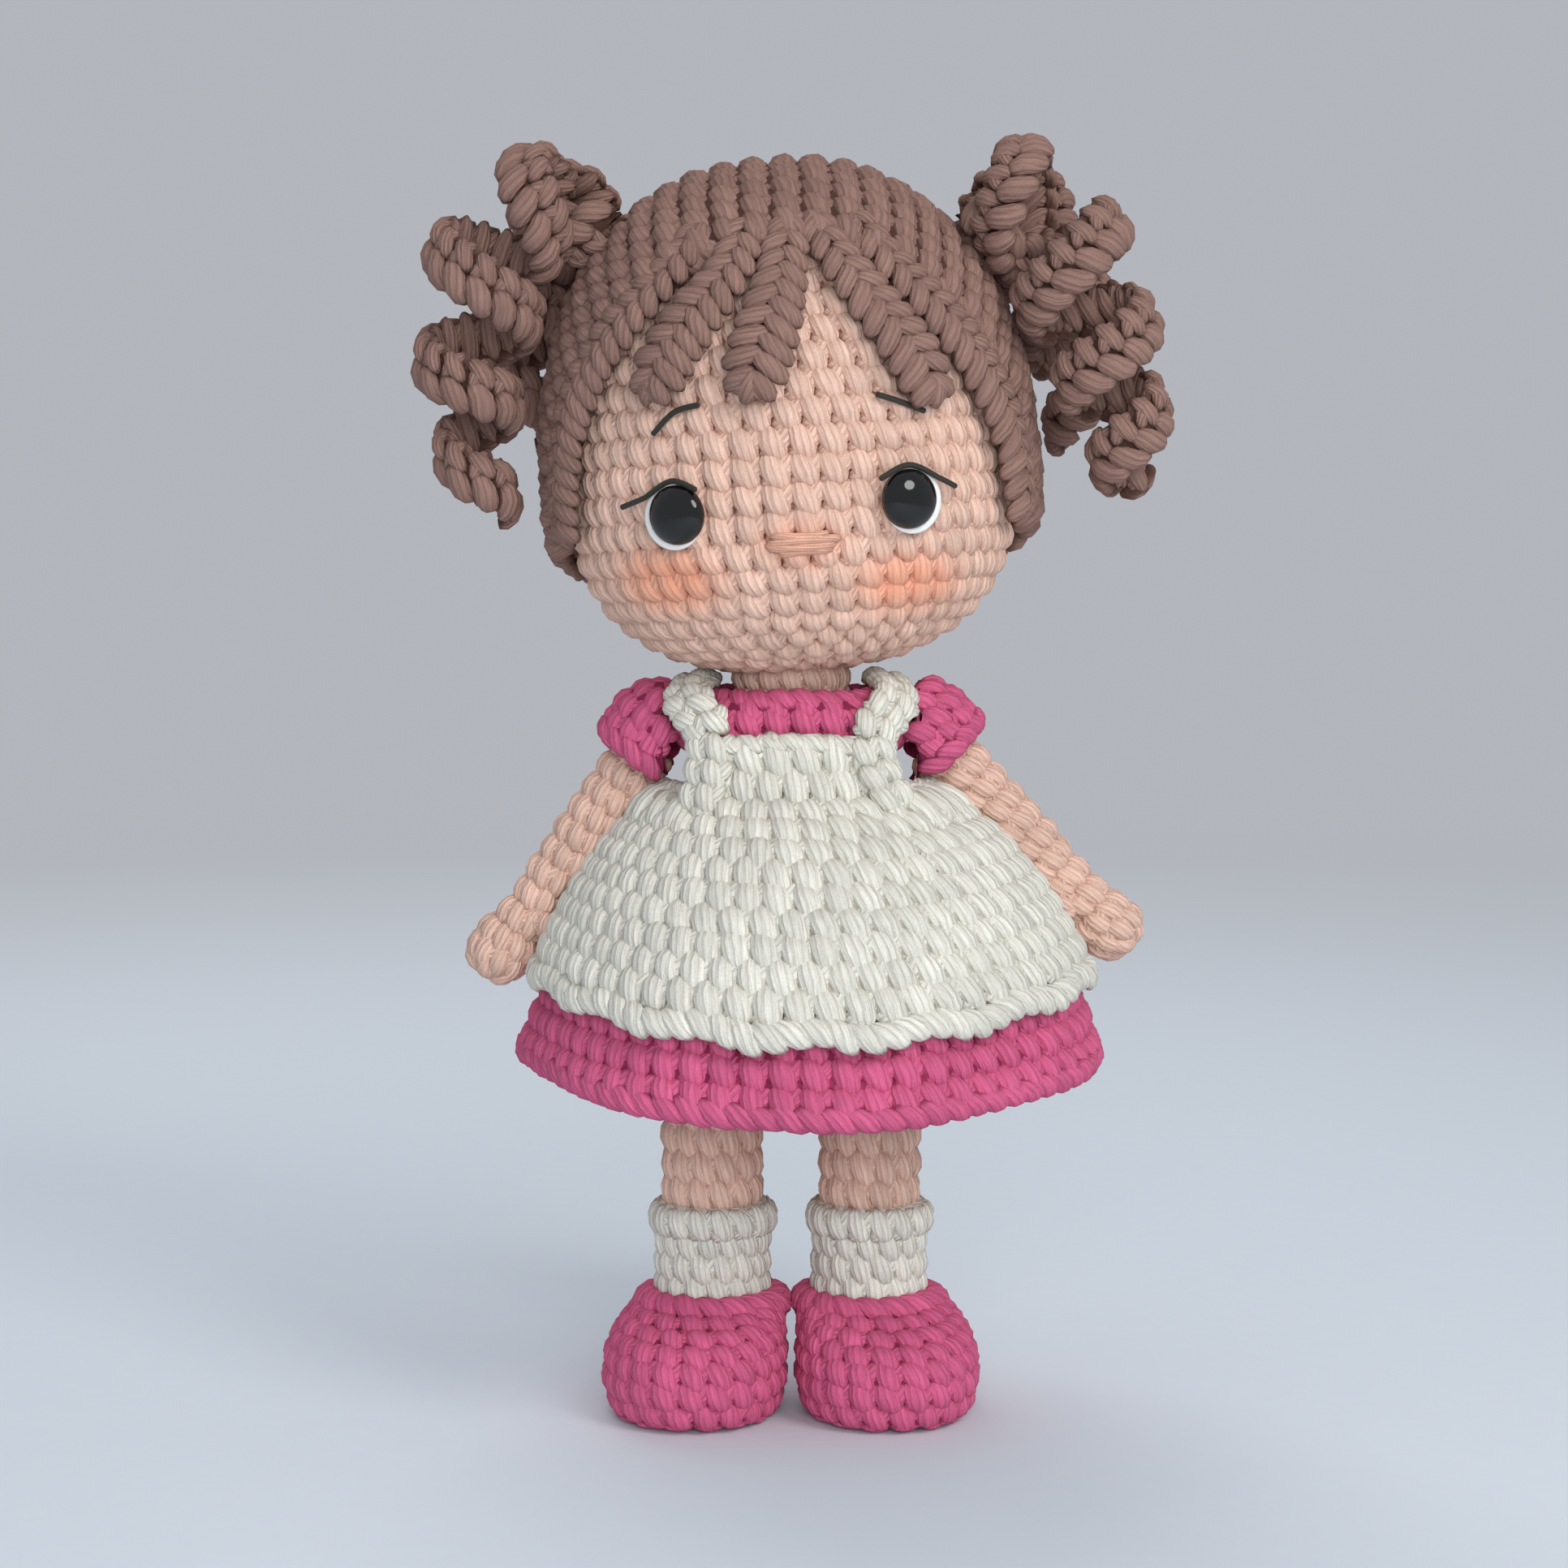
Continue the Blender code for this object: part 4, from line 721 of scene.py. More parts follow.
head = {"radius": 0.0314, "top": 0.0420, "drop": 0.0258, "centreZ": 0.1303, "rollDeg": 4.0, "crownPower": 2.3,
        "chinPower": 2.5, "stitchWide": 0.0041, "stitchHigh": 0.0038, "underHair": 0.004, "eyeTurn": 27.8,
        "eyeShare": -0.098, "stemRoom": 0.0008, "eyeDip": 0.0016, "dipReach": 0.0095}
headTurn = (Matrix.Translation((0.0, 0.0, head["centreZ"]))
            @ Matrix.Rotation(-math.radians(head["rollDeg"]), 4, "Y"))
headTilt = headTurn.to_3x3()
cap = {"thickness": 0.0037, "leanDeg": 29.0, "rimShare": 0.22, "napeShare": 0.25, "napeLeanDeg": 14.0,
       "stitchWide": 0.0043, "stitchHigh": 0.0040, "centre": (0.0, 0.0, 0.006), "chainIn": 0.0016,
       "rows": {"relief": 1.10, "proud": 0.0004, "step": 6, "overlap": 1.22, "grow": 1.02},
       "rope": {"wide": 0.0036, "step": 0.0034, "proud": 0.0004, "relief": 0.85}}


def leanWay(leanDeg):
    lean = math.radians(leanDeg)
    return Vector((0.0, -math.cos(lean), -math.sin(lean)))


# the planes of the hair's front rim and nape: a place and the way out of the hair
rimPlane = (Vector((0.0, -cap["rimShare"] * head["radius"], 0.0)), leanWay(cap["leanDeg"]))
napePlane = (Vector((0.0, 0.0, -cap["napeShare"] * head["drop"])), leanWay(90.0 - cap["napeLeanDeg"]))


def pastPlane(plane, point):
    return (headTurn.inverted() @ point - plane[0]).dot(plane[1])


def behindFace(point, room):
    return pastPlane(rimPlane, point) < -room and pastPlane(napePlane, point) < -room


def headReach(height, grow):
    return (head["top"] if height >= 0.0 else head["drop"]) + grow


def headRadiusAt(height, grow=0.0):
    power = head["crownPower"] if height >= 0.0 else head["chinPower"]
    share = min(abs(height) / headReach(height, grow), 1.0)
    return (head["radius"] + grow) * (1.0 - share ** power) ** (1.0 / power)


def headPoint(turnDeg, angle, grow=0.0):
    # the angle runs from 0 at the chin's pole to 180 at the crown
    level = -math.cos(math.radians(angle))
    height = level * headReach(level, grow)
    return roundAt(headRadiusAt(height, grow) if 0.0 < angle < 180.0 else 0.0, turnDeg, height)


def onHead(turnDeg, heightShare, lift=0.0):
    # a place on the face and the way out of it, in the world's axes
    swing, step = math.degrees(0.01), 0.00015
    height = heightShare * headReach(heightShare, 0.0)

    def at(turn, level):
        return roundAt(headRadiusAt(level), turn, level)

    outward = (at(turnDeg + swing, height) - at(turnDeg - swing, height)).cross(
        at(turnDeg, height + step) - at(turnDeg, height - step)).normalized()
    return headTurn @ (at(turnDeg, height) + outward * lift), headTilt @ outward


def inHair(point):
    reach = headReach(point.z, cap["thickness"])
    return abs(point.z) < reach and math.hypot(point.x, point.y) < headRadiusAt(point.z, cap["thickness"])


def makeHead():
    angles = evenPlaces(lambda angle: headPoint(0.0, angle), 1.0, 178.0, head["stitchHigh"])
    curves = [ringCurve(lambda turn: headTurn @ headPoint(turn, angle)) for angle in angles]
    eyes = [onHead(sign * head["eyeTurn"], head["eyeShare"]) for sign in (-1.0, 1.0)]

    def keep(middle):
        return not behindFace(middle, head["underHair"]) and all(
            (middle - spot).length > head["stemRoom"] for spot, _ in eyes)

    cells = stitchRows(curves, head["stitchWide"], keep=keep)
    dips = [(spot, -outward, head["eyeDip"], head["dipReach"]) for spot, outward in eyes]
    crochetPiece("headBall", cells, "head", "head_group", "skin", inset=0.0015, finish="cheek", dips=dips)


def capSurface(pole, across, other, depth, turn, centre):
    # a place on the outside of the hair, in the plane that stands at the depth along the pole
    angle = math.radians(turn)
    direction = across * math.sin(angle) + other * math.cos(angle)
    low, high = 0.0, 0.07
    for _ in range(26):
        middle = (low + high) / 2.0
        low, high = (middle, high) if inHair(centre + pole * depth + direction * middle) else (low, middle)
    return centre + pole * depth + direction * low


def makeCap():
    # rounds that lie in planes alongside the front rim, and close on the place farthest from it
    pole, up = -rimPlane[1], -napePlane[1]
    across, centre = Vector((1.0, 0.0, 0.0)), Vector(cap["centre"])
    other = pole.cross(across)
    rimDepth, napeDepth = (rimPlane[0] - centre).dot(pole), (napePlane[0] - centre).dot(up)
    peak = max((headPoint(180.0, angle, cap["thickness"]) for angle in turnsFrom(90.0, 179.0, 360)), key=pole.dot)
    reach = (peak - centre).dot(pole)
    slide = peak - centre - pole * reach

    def at(share, turn):
        depth = min(rimDepth + (reach - rimDepth) * (1.0 - (1.0 - share) ** 2), reach - 0.000002)
        drift = ((depth - rimDepth) / (reach - rimDepth)) ** 2
        return capSurface(pole, across, other, depth, turn, centre + slide * drift)

    def chain(axis, side, depth, start, splay):
        path = []
        for turn in turnsFrom(start, -start, 120)[:-1]:
            local = capSurface(axis, across, side, depth, turn, centre)
            out = headTilt @ (local - centre - axis * depth).normalized()
            path.append((headTurn @ local - out * cap["chainIn"], (out * splay - headTilt @ axis).normalized()))
        return ropeCells(path, **cap["rope"])

    shares = evenPlaces(lambda share: at(share, 180.0), 0.005, 0.985, cap["stitchHigh"])
    curves = [ringCurve(lambda turn: headTurn @ at(share, turn), start=180.0) for share in shares]
    cells = stitchRows(curves, cap["stitchWide"], keep=lambda middle: behindFace(middle, -0.0012), **cap["rows"])
    cells += [cell for cell in chain(pole, other, rimDepth, 180.0, 0.45)
              if pastPlane(napePlane, cell["place"]) < 0.0004]
    cells += [cell for cell in chain(up, across.cross(up), napeDepth, -180.0, 0.6)
              if behindFace(cell["place"], -0.0060) and pastPlane(rimPlane, cell["place"]) < 0.0006]
    crochetPiece("hairCap", cells, "hair_cap", "head_group", "hair", inset=0.0011, seed=3)


fringe = {"width": 0.0074, "thickness": 0.0034, "post": 0.0030, "turn": 0.0026, "points": 60, "gap": 0.0003,
          "tilt": 0.34, "overEdge": 1.04, "overMiddle": 0.06}
# the three bars that round off a strand's end
tip = {"fans": (-58.0, 58.0, 0.0), "back": 0.0012, "reach": 0.0010, "sink": 0.0002, "splay": 0.40, "proud": 0.0004,
       "size": (0.0029, 0.0042, 0.0026)}
strands = {
    "side_lock_right": ((-25, 0.80), (-32, 0.68), (-42, 0.57), (-53, 0.44), (-62, 0.27), (-67, 0.07), (-68, -0.18)),
    "fringe_right": ((-9, 0.80), (-13.5, 0.66), (-21.5, 0.55), (-28, 0.45), (-33.5, 0.315)),
    "fringe_middle": ((5, 0.80), (1.5, 0.66), (-2, 0.53), (-5.5, 0.41), (-8.5, 0.296)),
    "fringe_left": ((13, 0.80), (19, 0.66), (25.5, 0.53), (31, 0.42), (35, 0.33), (36.5, 0.245)),
    "side_lock_left": ((27, 0.80), (34, 0.66), (42.5, 0.54), (52.5, 0.38), (62, 0.19), (67, 0.02), (68, -0.22)),
}
taper = ((0.0, 0.56), (0.3, 0.80), (0.6, 1.0), (0.88, 1.0), (0.95, 0.88), (1.0, 0.52))


def makeStrand(number, name, knots):
    # two ridges that lean together, on a band that lies on the head
    count = fringe["points"]
    lift = fringe["gap"] + fringe["thickness"] / 2.0
    places = [onHead(turn, share, lift) for turn, share in smoothPath(knots, count)]
    middles = [middle for middle, _ in places]
    path = []
    for index, (middle, outward) in enumerate(places):
        half = fringe["width"] * readTable(taper, index / (count - 1)) / 2.0
        side = aheadAt(middles, index).cross(outward).normalized()
        path.append((middle, side, outward, half, fringe["thickness"] / 2.0))
    edge, over, tilt = fringe["overEdge"], fringe["overMiddle"], fringe["tilt"]
    cells = bandCells(resample(path, fringe["post"]), (("dTurn", -over, edge, 1.0, tilt),))
    cells += bandCells(resample(path, fringe["turn"]), (("fTurn", -edge, over, 1.0, -tilt),))
    middle, side, outward, _, thick = path[-1]
    ahead = (middle - middles[-3]).normalized()
    for fan in tip["fans"]:
        way = ahead * math.cos(math.radians(fan)) + side * math.sin(math.radians(fan))
        out = (outward + way * tip["splay"]).normalized()
        spot = middle - ahead * tip["back"] + way * tip["reach"] + outward * (thick - tip["sink"])
        cells.append(makeCell(spot, out, way.cross(out).normalized(), tip["size"], "eBar", tip["proud"]))
    crochetPiece(camelName(name), cells, name, "head_group", "hair", inset=0.0007, seed=20 + number)


curlBand = {"width": 0.0070, "thickness": 0.0034, "radius": 0.0080, "stitch": 0.0036, "pivotX": 0.0255,
            "pivotZ": 0.1690, "stepsPerTurn": 9, "smoother": 8,
            "kinds": (("bPost", -0.98, 0.02, 1.0, -0.25), ("dTurn", 0.02, 1.06, 1.0, 0.45),
                      ("bPost", 0.80, -0.80, -1.0, 0.0))}
# side, knots of the axis in shares of the head's radius, width of the spiral along it, turns
curls = {
    "curl_right_front": (-1.0, ((-0.02, -0.10, -0.10), (-0.30, -0.16, 0.00), (-0.50, -0.24, -0.24),
                                (-0.58, -0.25, -0.62), (-0.58, -0.23, -0.96), (-0.54, -0.20, -1.30)),
                         ((0.0, 0.45), (0.2, 0.85), (0.5, 0.95), (0.75, 0.66), (1.0, 0.40)), 4.45),
    "curl_right_back": (-1.0, ((-0.00, 0.34, -0.10), (-0.20, 0.44, -0.02), (-0.34, 0.50, -0.24),
                               (-0.42, 0.47, -0.56), (-0.42, 0.46, -0.92)),
                        ((0.0, 0.45), (0.25, 0.85), (0.6, 0.80), (1.0, 0.45)), 3.6),
    "curl_left_front": (1.0, ((0.02, -0.06, -0.12), (0.22, -0.18, 0.00), (0.38, -0.32, -0.22),
                              (0.52, -0.32, -0.56), (0.62, -0.30, -0.88), (0.70, -0.26, -1.18)),
                        ((0.0, 0.55), (0.2, 1.00), (0.5, 0.98), (0.75, 0.74), (1.0, 0.45)), 4.6),
    "curl_left_back": (1.0, ((0.00, 0.34, -0.10), (0.20, 0.44, -0.02), (0.36, 0.50, -0.26),
                             (0.46, 0.47, -0.60), (0.52, 0.46, -0.96)),
                       ((0.0, 0.45), (0.25, 0.88), (0.6, 0.80), (1.0, 0.45)), 3.55),
}


def makeCurl(number, name, sign, axisShares, radii, turns):
    # the band's middle line as the solid has it, in finer steps
    knots = [tuple(value * head["radius"] for value in row) for row in axisShares]
    count = int(turns * curlBand["stepsPerTurn"] * curlBand["smoother"]) + 1
    axis = [Vector(point) for point in smoothPath(knots, count)]
    pivot = Vector((sign * curlBand["pivotX"], 0.0, curlBand["pivotZ"]))
    path, across = [], aheadAt(axis, 0).orthogonal()
    for index, centre in enumerate(axis):
        share = index / (count - 1)
        ahead = aheadAt(axis, index)
        across = (across - ahead * across.dot(ahead)).normalized()
        angle = math.pi / 2.0 + sign * 2.0 * math.pi * turns * share
        outward = across * math.cos(angle) + ahead.cross(across) * math.sin(angle)
        middle = pivot + centre + outward * (curlBand["radius"] * readTable(radii, share))
        path.append((middle, ahead, outward, curlBand["width"] / 2.0, curlBand["thickness"] / 2.0))
    cells = [cell for cell in bandCells(resample(path, curlBand["stitch"]), curlBand["kinds"], proud=0.0005)
             if not inHair(headTurn.inverted() @ cell["place"])]
    body = "left_bunch" if sign > 0.0 else "right_bunch"
    crochetPiece(camelName(name), cells, name, body, "hair", inset=0.0008, seed=30 + number)


# Dress: places run from 0 at the waist to 1 at the hem, or to -1 at the neckline

dress = {"waistZ": 0.0895, "necklineZ": 0.1022, "shoulderHalf": 0.0176, "shoulderZ": 0.0968, "waistRadius": 0.0126,
         "hemRadius": 0.0415, "hemZ": 0.0507, "hemDroop": 0.0036, "hemWave": 0.0006, "hemFolds": 7, "sway": 0.0030,
         "fabric": 0.0029, "chestDepth": 0.80, "squarePower": 3.0, "stitchWide": 0.0042, "stitchHigh": 0.0039}
flareShares = ((0.0, 0.0), (0.05, 0.08), (0.09, 0.17), (0.126, 0.273), (0.245, 0.443),
               (0.43, 0.647), (0.657, 0.81), (0.863, 0.941), (1.0, 1.0))
swayShares = ((0.0, 0.0), (0.245, 0.73), (0.43, 0.85), (0.66, 1.0), (1.0, 1.0))
bodiceWidths = ((0.0, 0.0), (0.28, 0.5), (0.5, 0.92), (0.62, 1.0), (0.75, 0.96), (0.87, 0.72), (0.96, 0.20),
                (1.0, -0.22))
bodiceDepths = ((0.0, 0.0), (0.28, 0.4), (0.5, 0.8), (0.62, 1.0), (0.75, 1.0), (0.87, 0.8), (0.96, 0.3), (1.0, 0.0))


def sectionPoint(angle, halfWidth, halfDepth, power):
    east, south = math.sin(angle), math.cos(angle)
    reach = (abs(east / halfWidth) ** power + abs(south / halfDepth) ** power) ** (-1.0 / power)
    return reach * east, -reach * south


def hemHeight(angle):
    return dress["hemZ"] - dress["hemDroop"] * math.cos(angle) ** 2


def dressPoint(turnDeg, place):
    angle = math.radians(turnDeg)
    if place < 0.0:
        flare, drawn = readTable(bodiceWidths, -place), readTable(bodiceDepths, -place)
        width = dress["waistRadius"] + (dress["shoulderHalf"] - dress["waistRadius"]) * flare
        depth = width * (1.0 - (1.0 - dress["chestDepth"]) * drawn)
        east, south = sectionPoint(angle, width, depth, 2.0 + (dress["squarePower"] - 2.0) * drawn)
        return Vector((east, south, dress["waistZ"] - (dress["necklineZ"] - dress["waistZ"]) * place))
    wave = dress["hemWave"] * place ** 3 * math.sin(dress["hemFolds"] * angle)
    radius = dress["waistRadius"] + (dress["hemRadius"] - dress["waistRadius"]) * readTable(flareShares, place) + wave
    return roundAt(radius, turnDeg, dress["waistZ"] + (hemHeight(angle) - dress["waistZ"]) * place,
                   dress["sway"] * readTable(swayShares, place))


def onDress(turnDeg, place, lift, ease=0.05):
    across = dressPoint(turnDeg + 1.0, place) - dressPoint(turnDeg - 1.0, place)
    down = dressPoint(turnDeg, min(place + ease, 1.0)) - dressPoint(turnDeg, max(place - ease, -1.0))
    outward = down.cross(across).normalized()
    return dressPoint(turnDeg, place) + outward * lift, outward


def dressRows(start, end, lift, wide, high, **settings):
    # rounds from the lowest place up
    places = evenPlaces(lambda place: onDress(0.0, place, lift)[0], end, start, high)
    return stitchRows([ringCurve(lambda turn: onDress(turn, place, lift)[0]) for place in places], wide, **settings)


def rimRope(place, lift, level, spread, rise, count, rope):
    # a rope on an edge of the dress, turned up or down by the rise
    path = [(onDress(turn, place, lift)[0],
             (onDress(turn, level, 0.0)[1] * spread + Vector((0.0, 0.0, rise))).normalized())
            for turn in turnsFrom(-180.0, 180.0, count)[:-1]]
    return ropeCells(path, **rope)


bodice = {"wide": 0.95 * dress["stitchWide"], "high": 0.92 * dress["stitchHigh"], "lift": -0.0001,
          "rows": {"relief": 0.75, "proud": 0.0002}, "armRoom": 0.0012, "stitchDepth": 0.002,
          "rope": {"wide": 0.0032, "step": 0.0031, "proud": 0.0010}}
skirt = {"hemPlace": 0.985, "rows": {"relief": 0.84, "proud": 0.0004, "overlap": 1.04, "grow": 1.05},
         "insideFrom": 0.10, "insideTo": 0.965, "coarser": 1.3, "insideRows": {"relief": 0.5, "proud": 0.0001},
         "rope": {"wide": 0.0031, "step": 0.0033, "relief": 0.9, "proud": 0.0013, "closeUp": 1.4}}


def makeBodice():
    cells = dressRows(-1.0, 0.0, bodice["lift"], bodice["wide"], bodice["high"], **bodice["rows"])
    side = dress["shoulderHalf"] - bodice["armRoom"]
    cells = [cell for cell in cells if abs(cell["place"].x + cell["outward"].x * bodice["stitchDepth"]) < side]
    cells += rimRope(-0.985, -0.0007, -0.9, 1.0, 0.9, 72, bodice["rope"])
    crochetPiece("bodiceCloth", cells, "bodice", "torso", "dress", inset=0.0009, seed=41)


def makeSkirt():
    wide, high, low, coarser = dress["stitchWide"], dress["stitchHigh"], skirt["hemPlace"], skirt["coarser"]
    cells = dressRows(0.0, low, 0.0, wide, high, **skirt["rows"])
    cells += dressRows(skirt["insideFrom"], skirt["insideTo"], -dress["fabric"], wide * coarser, high * coarser,
                       inner=True, **skirt["insideRows"])
    cells += rimRope(low, -dress["fabric"] * 0.40, 0.98, 0.9, -0.75, 120, skirt["rope"])
    stitches = crochetPiece("skirtStitches", cells, "skirt", "torso", "dress", seed=42)
    cloth = clothFrom("skirtCloth", "skirt", "dress", 0.0009)
    # flat size: round the hem, and down the front from the waist
    middle = -dress["fabric"] / 2.0
    hem = sampler(ringCurve(lambda turn: onDress(turn, 1.0, middle)[0]), True)[1]
    fall = sampler(openCurve(lambda place: onDress(0.0, place, middle)[0], 0.0, 1.0, 40), False)[1]
    print("skirt lies flat at", round(hem, 4), "by", round(fall, 4))


apron = {"thickness": 0.0024, "ease": 0.0005, "gap": 0.0003, "bibTopZ": 0.0957, "bibHalfDeg": 40.5,
         "bibFadeDeg": 9.0, "sideDeg": 85.5, "frontZ": 0.0605, "sideRise": 0.0042, "bandTopZ": 0.0849,
         "bandBottomZ": 0.0812, "edgeRadius": 0.0017, "scallops": 16, "edgeWave": 0.0007, "join": 0.10,
         "bibHollow": 0.0007, "columnDeg": 9.5, "stitchWide": 0.0041, "stitchHigh": 0.0037}
apronBib = (0.0, 0.28, 0.56, 0.80)
apronFall = (0.0, 0.12, 0.28, 0.46, 0.66, 0.84, 1.0)
apronOuter = apron["gap"] + apron["ease"] + apron["thickness"]
# the rows of corners, counted from the bib's top, where the skirt part starts and ends
apronJoin, apronLast = float(len(apronBib)), len(apronBib) + len(apronFall) - 1
apronRows = {
    "skirtAndBib": {"relief": 0.85, "proud": 0.0007, "overlap": 1.12, "grow": 1.18},
    "first": {"relief": 0.85, "proud": 0.0013, "overlap": 1.2, "grow": 1.12},
    "corner": {"relief": 0.8, "proud": 0.0008, "overlap": 1.2, "grow": 1.15, "least": 0.0009},
}
apronRopes = {
    "bibTop": {"wide": 0.0026, "step": 0.0029, "proud": 0.0009, "relief": 0.8, "closeUp": 1.3},
    "waist": {"wide": 0.0034, "step": 0.0033, "proud": 0.0005, "relief": 0.75, "closeUp": 1.3},
    "side": {"wide": 0.0032, "step": 0.0032, "proud": 0.0008, "relief": 0.8, "closeUp": 1.2},
    "scallops": {"wide": 0.0033, "step": 0.0032, "proud": 0.0018, "relief": 0.85, "closeUp": 1.45},
    "band": {"wide": 0.0026, "step": 0.0029, "proud": 0.0007, "relief": 0.85, "closeUp": 1.4},
}


def apronBottom(turnDeg):
    turn = math.radians(turnDeg)
    rise = apron["sideRise"] * math.sin(turn) ** 2
    return (dress["waistZ"] - (apron["frontZ"] + rise)) / (dress["waistZ"] - hemHeight(turn))


def placeAtHeight(height):
    return (dress["waistZ"] - height) / (dress["waistZ"] - dress["hemZ"])


def apronColumn(turnDeg, row, lift):
    bibTop = -(apron["bibTopZ"] - dress["waistZ"]) / (dress["necklineZ"] - dress["waistZ"])
    fade = min(max((abs(turnDeg) - apron["bibHalfDeg"]) / apron["bibFadeDeg"], 0.0), 1.0)
    top = bibTop + (placeAtHeight(apron["bandTopZ"]) - bibTop) * fade
    fall = apronBottom(turnDeg) - apron["join"]
    places = [top + (apron["join"] - top) * share for share in apronBib]
    places += [apron["join"] + fall * share for share in apronFall]
    low = min(int(row), len(places) - 2)
    above, below = (onDress(turnDeg, places[index], lift)[0] for index in (low, low + 1))
    return above.lerp(below, row - low)


def apronPoint(turnDeg, row, lift=apronOuter):
    step, side = apron["columnDeg"], apron["sideDeg"]
    first = math.floor(turnDeg / step) * step
    left, right = apronColumn(max(first, -side), row, lift), apronColumn(min(first + step, side), row, lift)
    return left.lerp(right, (turnDeg - first) / step)


def apronOutward(turnDeg, row):
    side = apron["sideDeg"] - 0.6
    across = apronPoint(min(turnDeg + 0.5, side), row) - apronPoint(max(turnDeg - 0.5, -side), row)
    down = apronPoint(turnDeg, min(row + 0.3, 10.0)) - apronPoint(turnDeg, max(row - 0.3, 0.0))
    return down.cross(across).normalized()


def bibPoint(turnDeg, share):
    # from the skirt part's first row at 0 up to the bib's top at 1, bridging the fold at the waist
    low, high = apronPoint(turnDeg, apronJoin), apronPoint(turnDeg, 0.0)
    inward = Vector((-low.x, -low.y, 0.0)).normalized()
    return low.lerp(high, share) + inward * (apron["bibHollow"] * 4.0 * share * (1.0 - share))


def makeApronSide(sign, kind, side):
    # rope along the waist, the row below it, the corner beside the bib, rope down the open side, foot of the strap
    waist = []
    for turn in turnsFrom(45.0, side, 40):
        share = max(0.0, 1.0 - (turn - 45.0) / 12.0)
        spot = apronPoint(sign * turn, apronJoin).lerp(apronPoint(sign * turn, 0.0), 0.55 * share)
        waist.append((spot, roundAt(0.8 + 0.2 * share, sign * turn, 0.5).normalized()))
    cells = ropeCells(waist, kind=kind, loop=False, **apronRopes["waist"])
    ends = sorted((sign * 43.0, sign * side))
    first = [openCurve(lambda turn: apronPoint(turn, row), *ends, 40) for row in (apronJoin + 1.0, apronJoin)]
    cells += stitchRows(first, apron["stitchWide"], loop=False, **apronRows["first"])
    ends = sorted((sign * 41.0, sign * 56.0))
    corner = [openCurve(lambda turn: apronPoint(turn, apronJoin).lerp(apronPoint(turn, 0.0), share), *ends, 20)
              for share in (0.0, 0.5, 1.0)]
    cells += stitchRows(corner, 0.0034, loop=False, **apronRows["corner"])
    edge = [(apronPoint(sign * side, row, apronOuter - 0.0008),
             (apronOutward(sign * side, row) + Vector((0.0, 0.7, 0.0))).normalized())
            for row in evenPlaces(lambda row: apronPoint(sign * side, row), apronJoin, float(apronLast), 0.001)]
    cells += ropeCells(edge, kind="fTurn", loop=False, **apronRopes["side"])
    return cells + [cell for cell in strapCells(sign) if isFoot(cell)]


def makeApron():
    side, wide, high = apron["sideDeg"] - 0.3, apron["stitchWide"], apron["stitchHigh"]
    rows = evenPlaces(lambda row: apronPoint(0.0, row), apronLast + 0.24, apronJoin, high)
    curves = [openCurve(lambda turn: apronPoint(turn, row), -side, side, 60) for row in rows]
    cells = stitchRows(curves, wide, loop=False, **apronRows["skirtAndBib"])
    shares = evenPlaces(lambda share: bibPoint(0.0, share), 0.0, 1.0, high)
    curves = [openCurve(lambda turn: bibPoint(turn, share), -39.0, 39.0, 40) for share in shares]
    cells += stitchRows(curves, wide * 0.95, loop=False, **apronRows["skirtAndBib"])
    top = openCurve(lambda turn: (apronPoint(turn, 0.0, apronOuter - 0.0008), roundAt(0.7, turn, 1.0).normalized()),
                    -36.0, 36.0, 60)
    cells += ropeCells(top, loop=False, **apronRopes["bibTop"])
    cells += makeApronSide(-1.0, "dTurn", side) + makeApronSide(1.0, "fTurn", side)
    stitches = crochetPiece("apronStitches", cells, "apron", "torso", "cream", seed=51)
    cloth = clothFrom("apronCloth", "apron", "cream", 0.0006)
    # flat size: along the lower edge, and down the front from the bib's top
    middle = apronOuter - apron["thickness"] / 2.0
    edge = sampler(openCurve(lambda turn: apronPoint(turn, apronLast, middle), -side, side, 60), False)[1]
    fall = sampler(openCurve(lambda row: apronPoint(0.0, row, middle), 0.0, apronLast, 40), False)[1]
    print("apron lies flat at", round(edge, 4), "by", round(fall, 4))


def makeApronEdge():
    lift, side = apron["gap"] + apron["edgeRadius"], apron["sideDeg"]
    run = (dressPoint(0.0, 0.8) - dressPoint(0.0, 0.6)).length / 0.2

    def at(turn):
        wave = apron["edgeWave"] * (1.0 - math.cos(apron["scallops"] * math.radians(turn)))
        return onDress(turn, apronBottom(turn) + (apron["edgeRadius"] + 0.0006 + wave) / run, lift)

    cells = ropeCells(openCurve(at, -side, side, 180), loop=False, **apronRopes["scallops"])
    crochetPiece("apronEdge", cells, "apron_edge", "torso", "cream", inset=0.0006, seed=52)


strap = {"width": 0.0060, "thickness": 0.0022, "stitch": 0.0034, "points": 120, "footZ": 0.0952,
         "kinds": (("gCross", -0.06, 1.12, 1.0, 0.30), ("gCross", -1.12, 0.06, 1.0, -0.30))}
strapKnots = ((38.5, -0.56), (41.0, -0.66), (52, -0.80), (68, -0.93), (90, -0.975), (112, -0.93), (128, -0.80),
              (141, -0.60), (150, -0.35), (154, -0.14), (154.5, 0.0), (154.6, 0.07), (154.6, 0.115))
# the foot runs on down the bib's side: place and outward on the left, and its shift with the skirt's sway
strapFoot = (((0.0140, -0.0170, 0.0866), (0.58, -0.66, 0.48), 0.0009),
             ((0.0129, -0.0162, 0.0892), (0.60, -0.76, 0.22), 0.0006),
             ((0.0120, -0.0159, 0.0918), (0.60, -0.80, 0.05), 0.0002),
             ((0.0114, -0.0157, 0.0944), (0.50, -0.86, 0.02), 0.0))


def isFoot(cell):
    return cell["place"].z < strap["footZ"] and cell["place"].y < 0.0


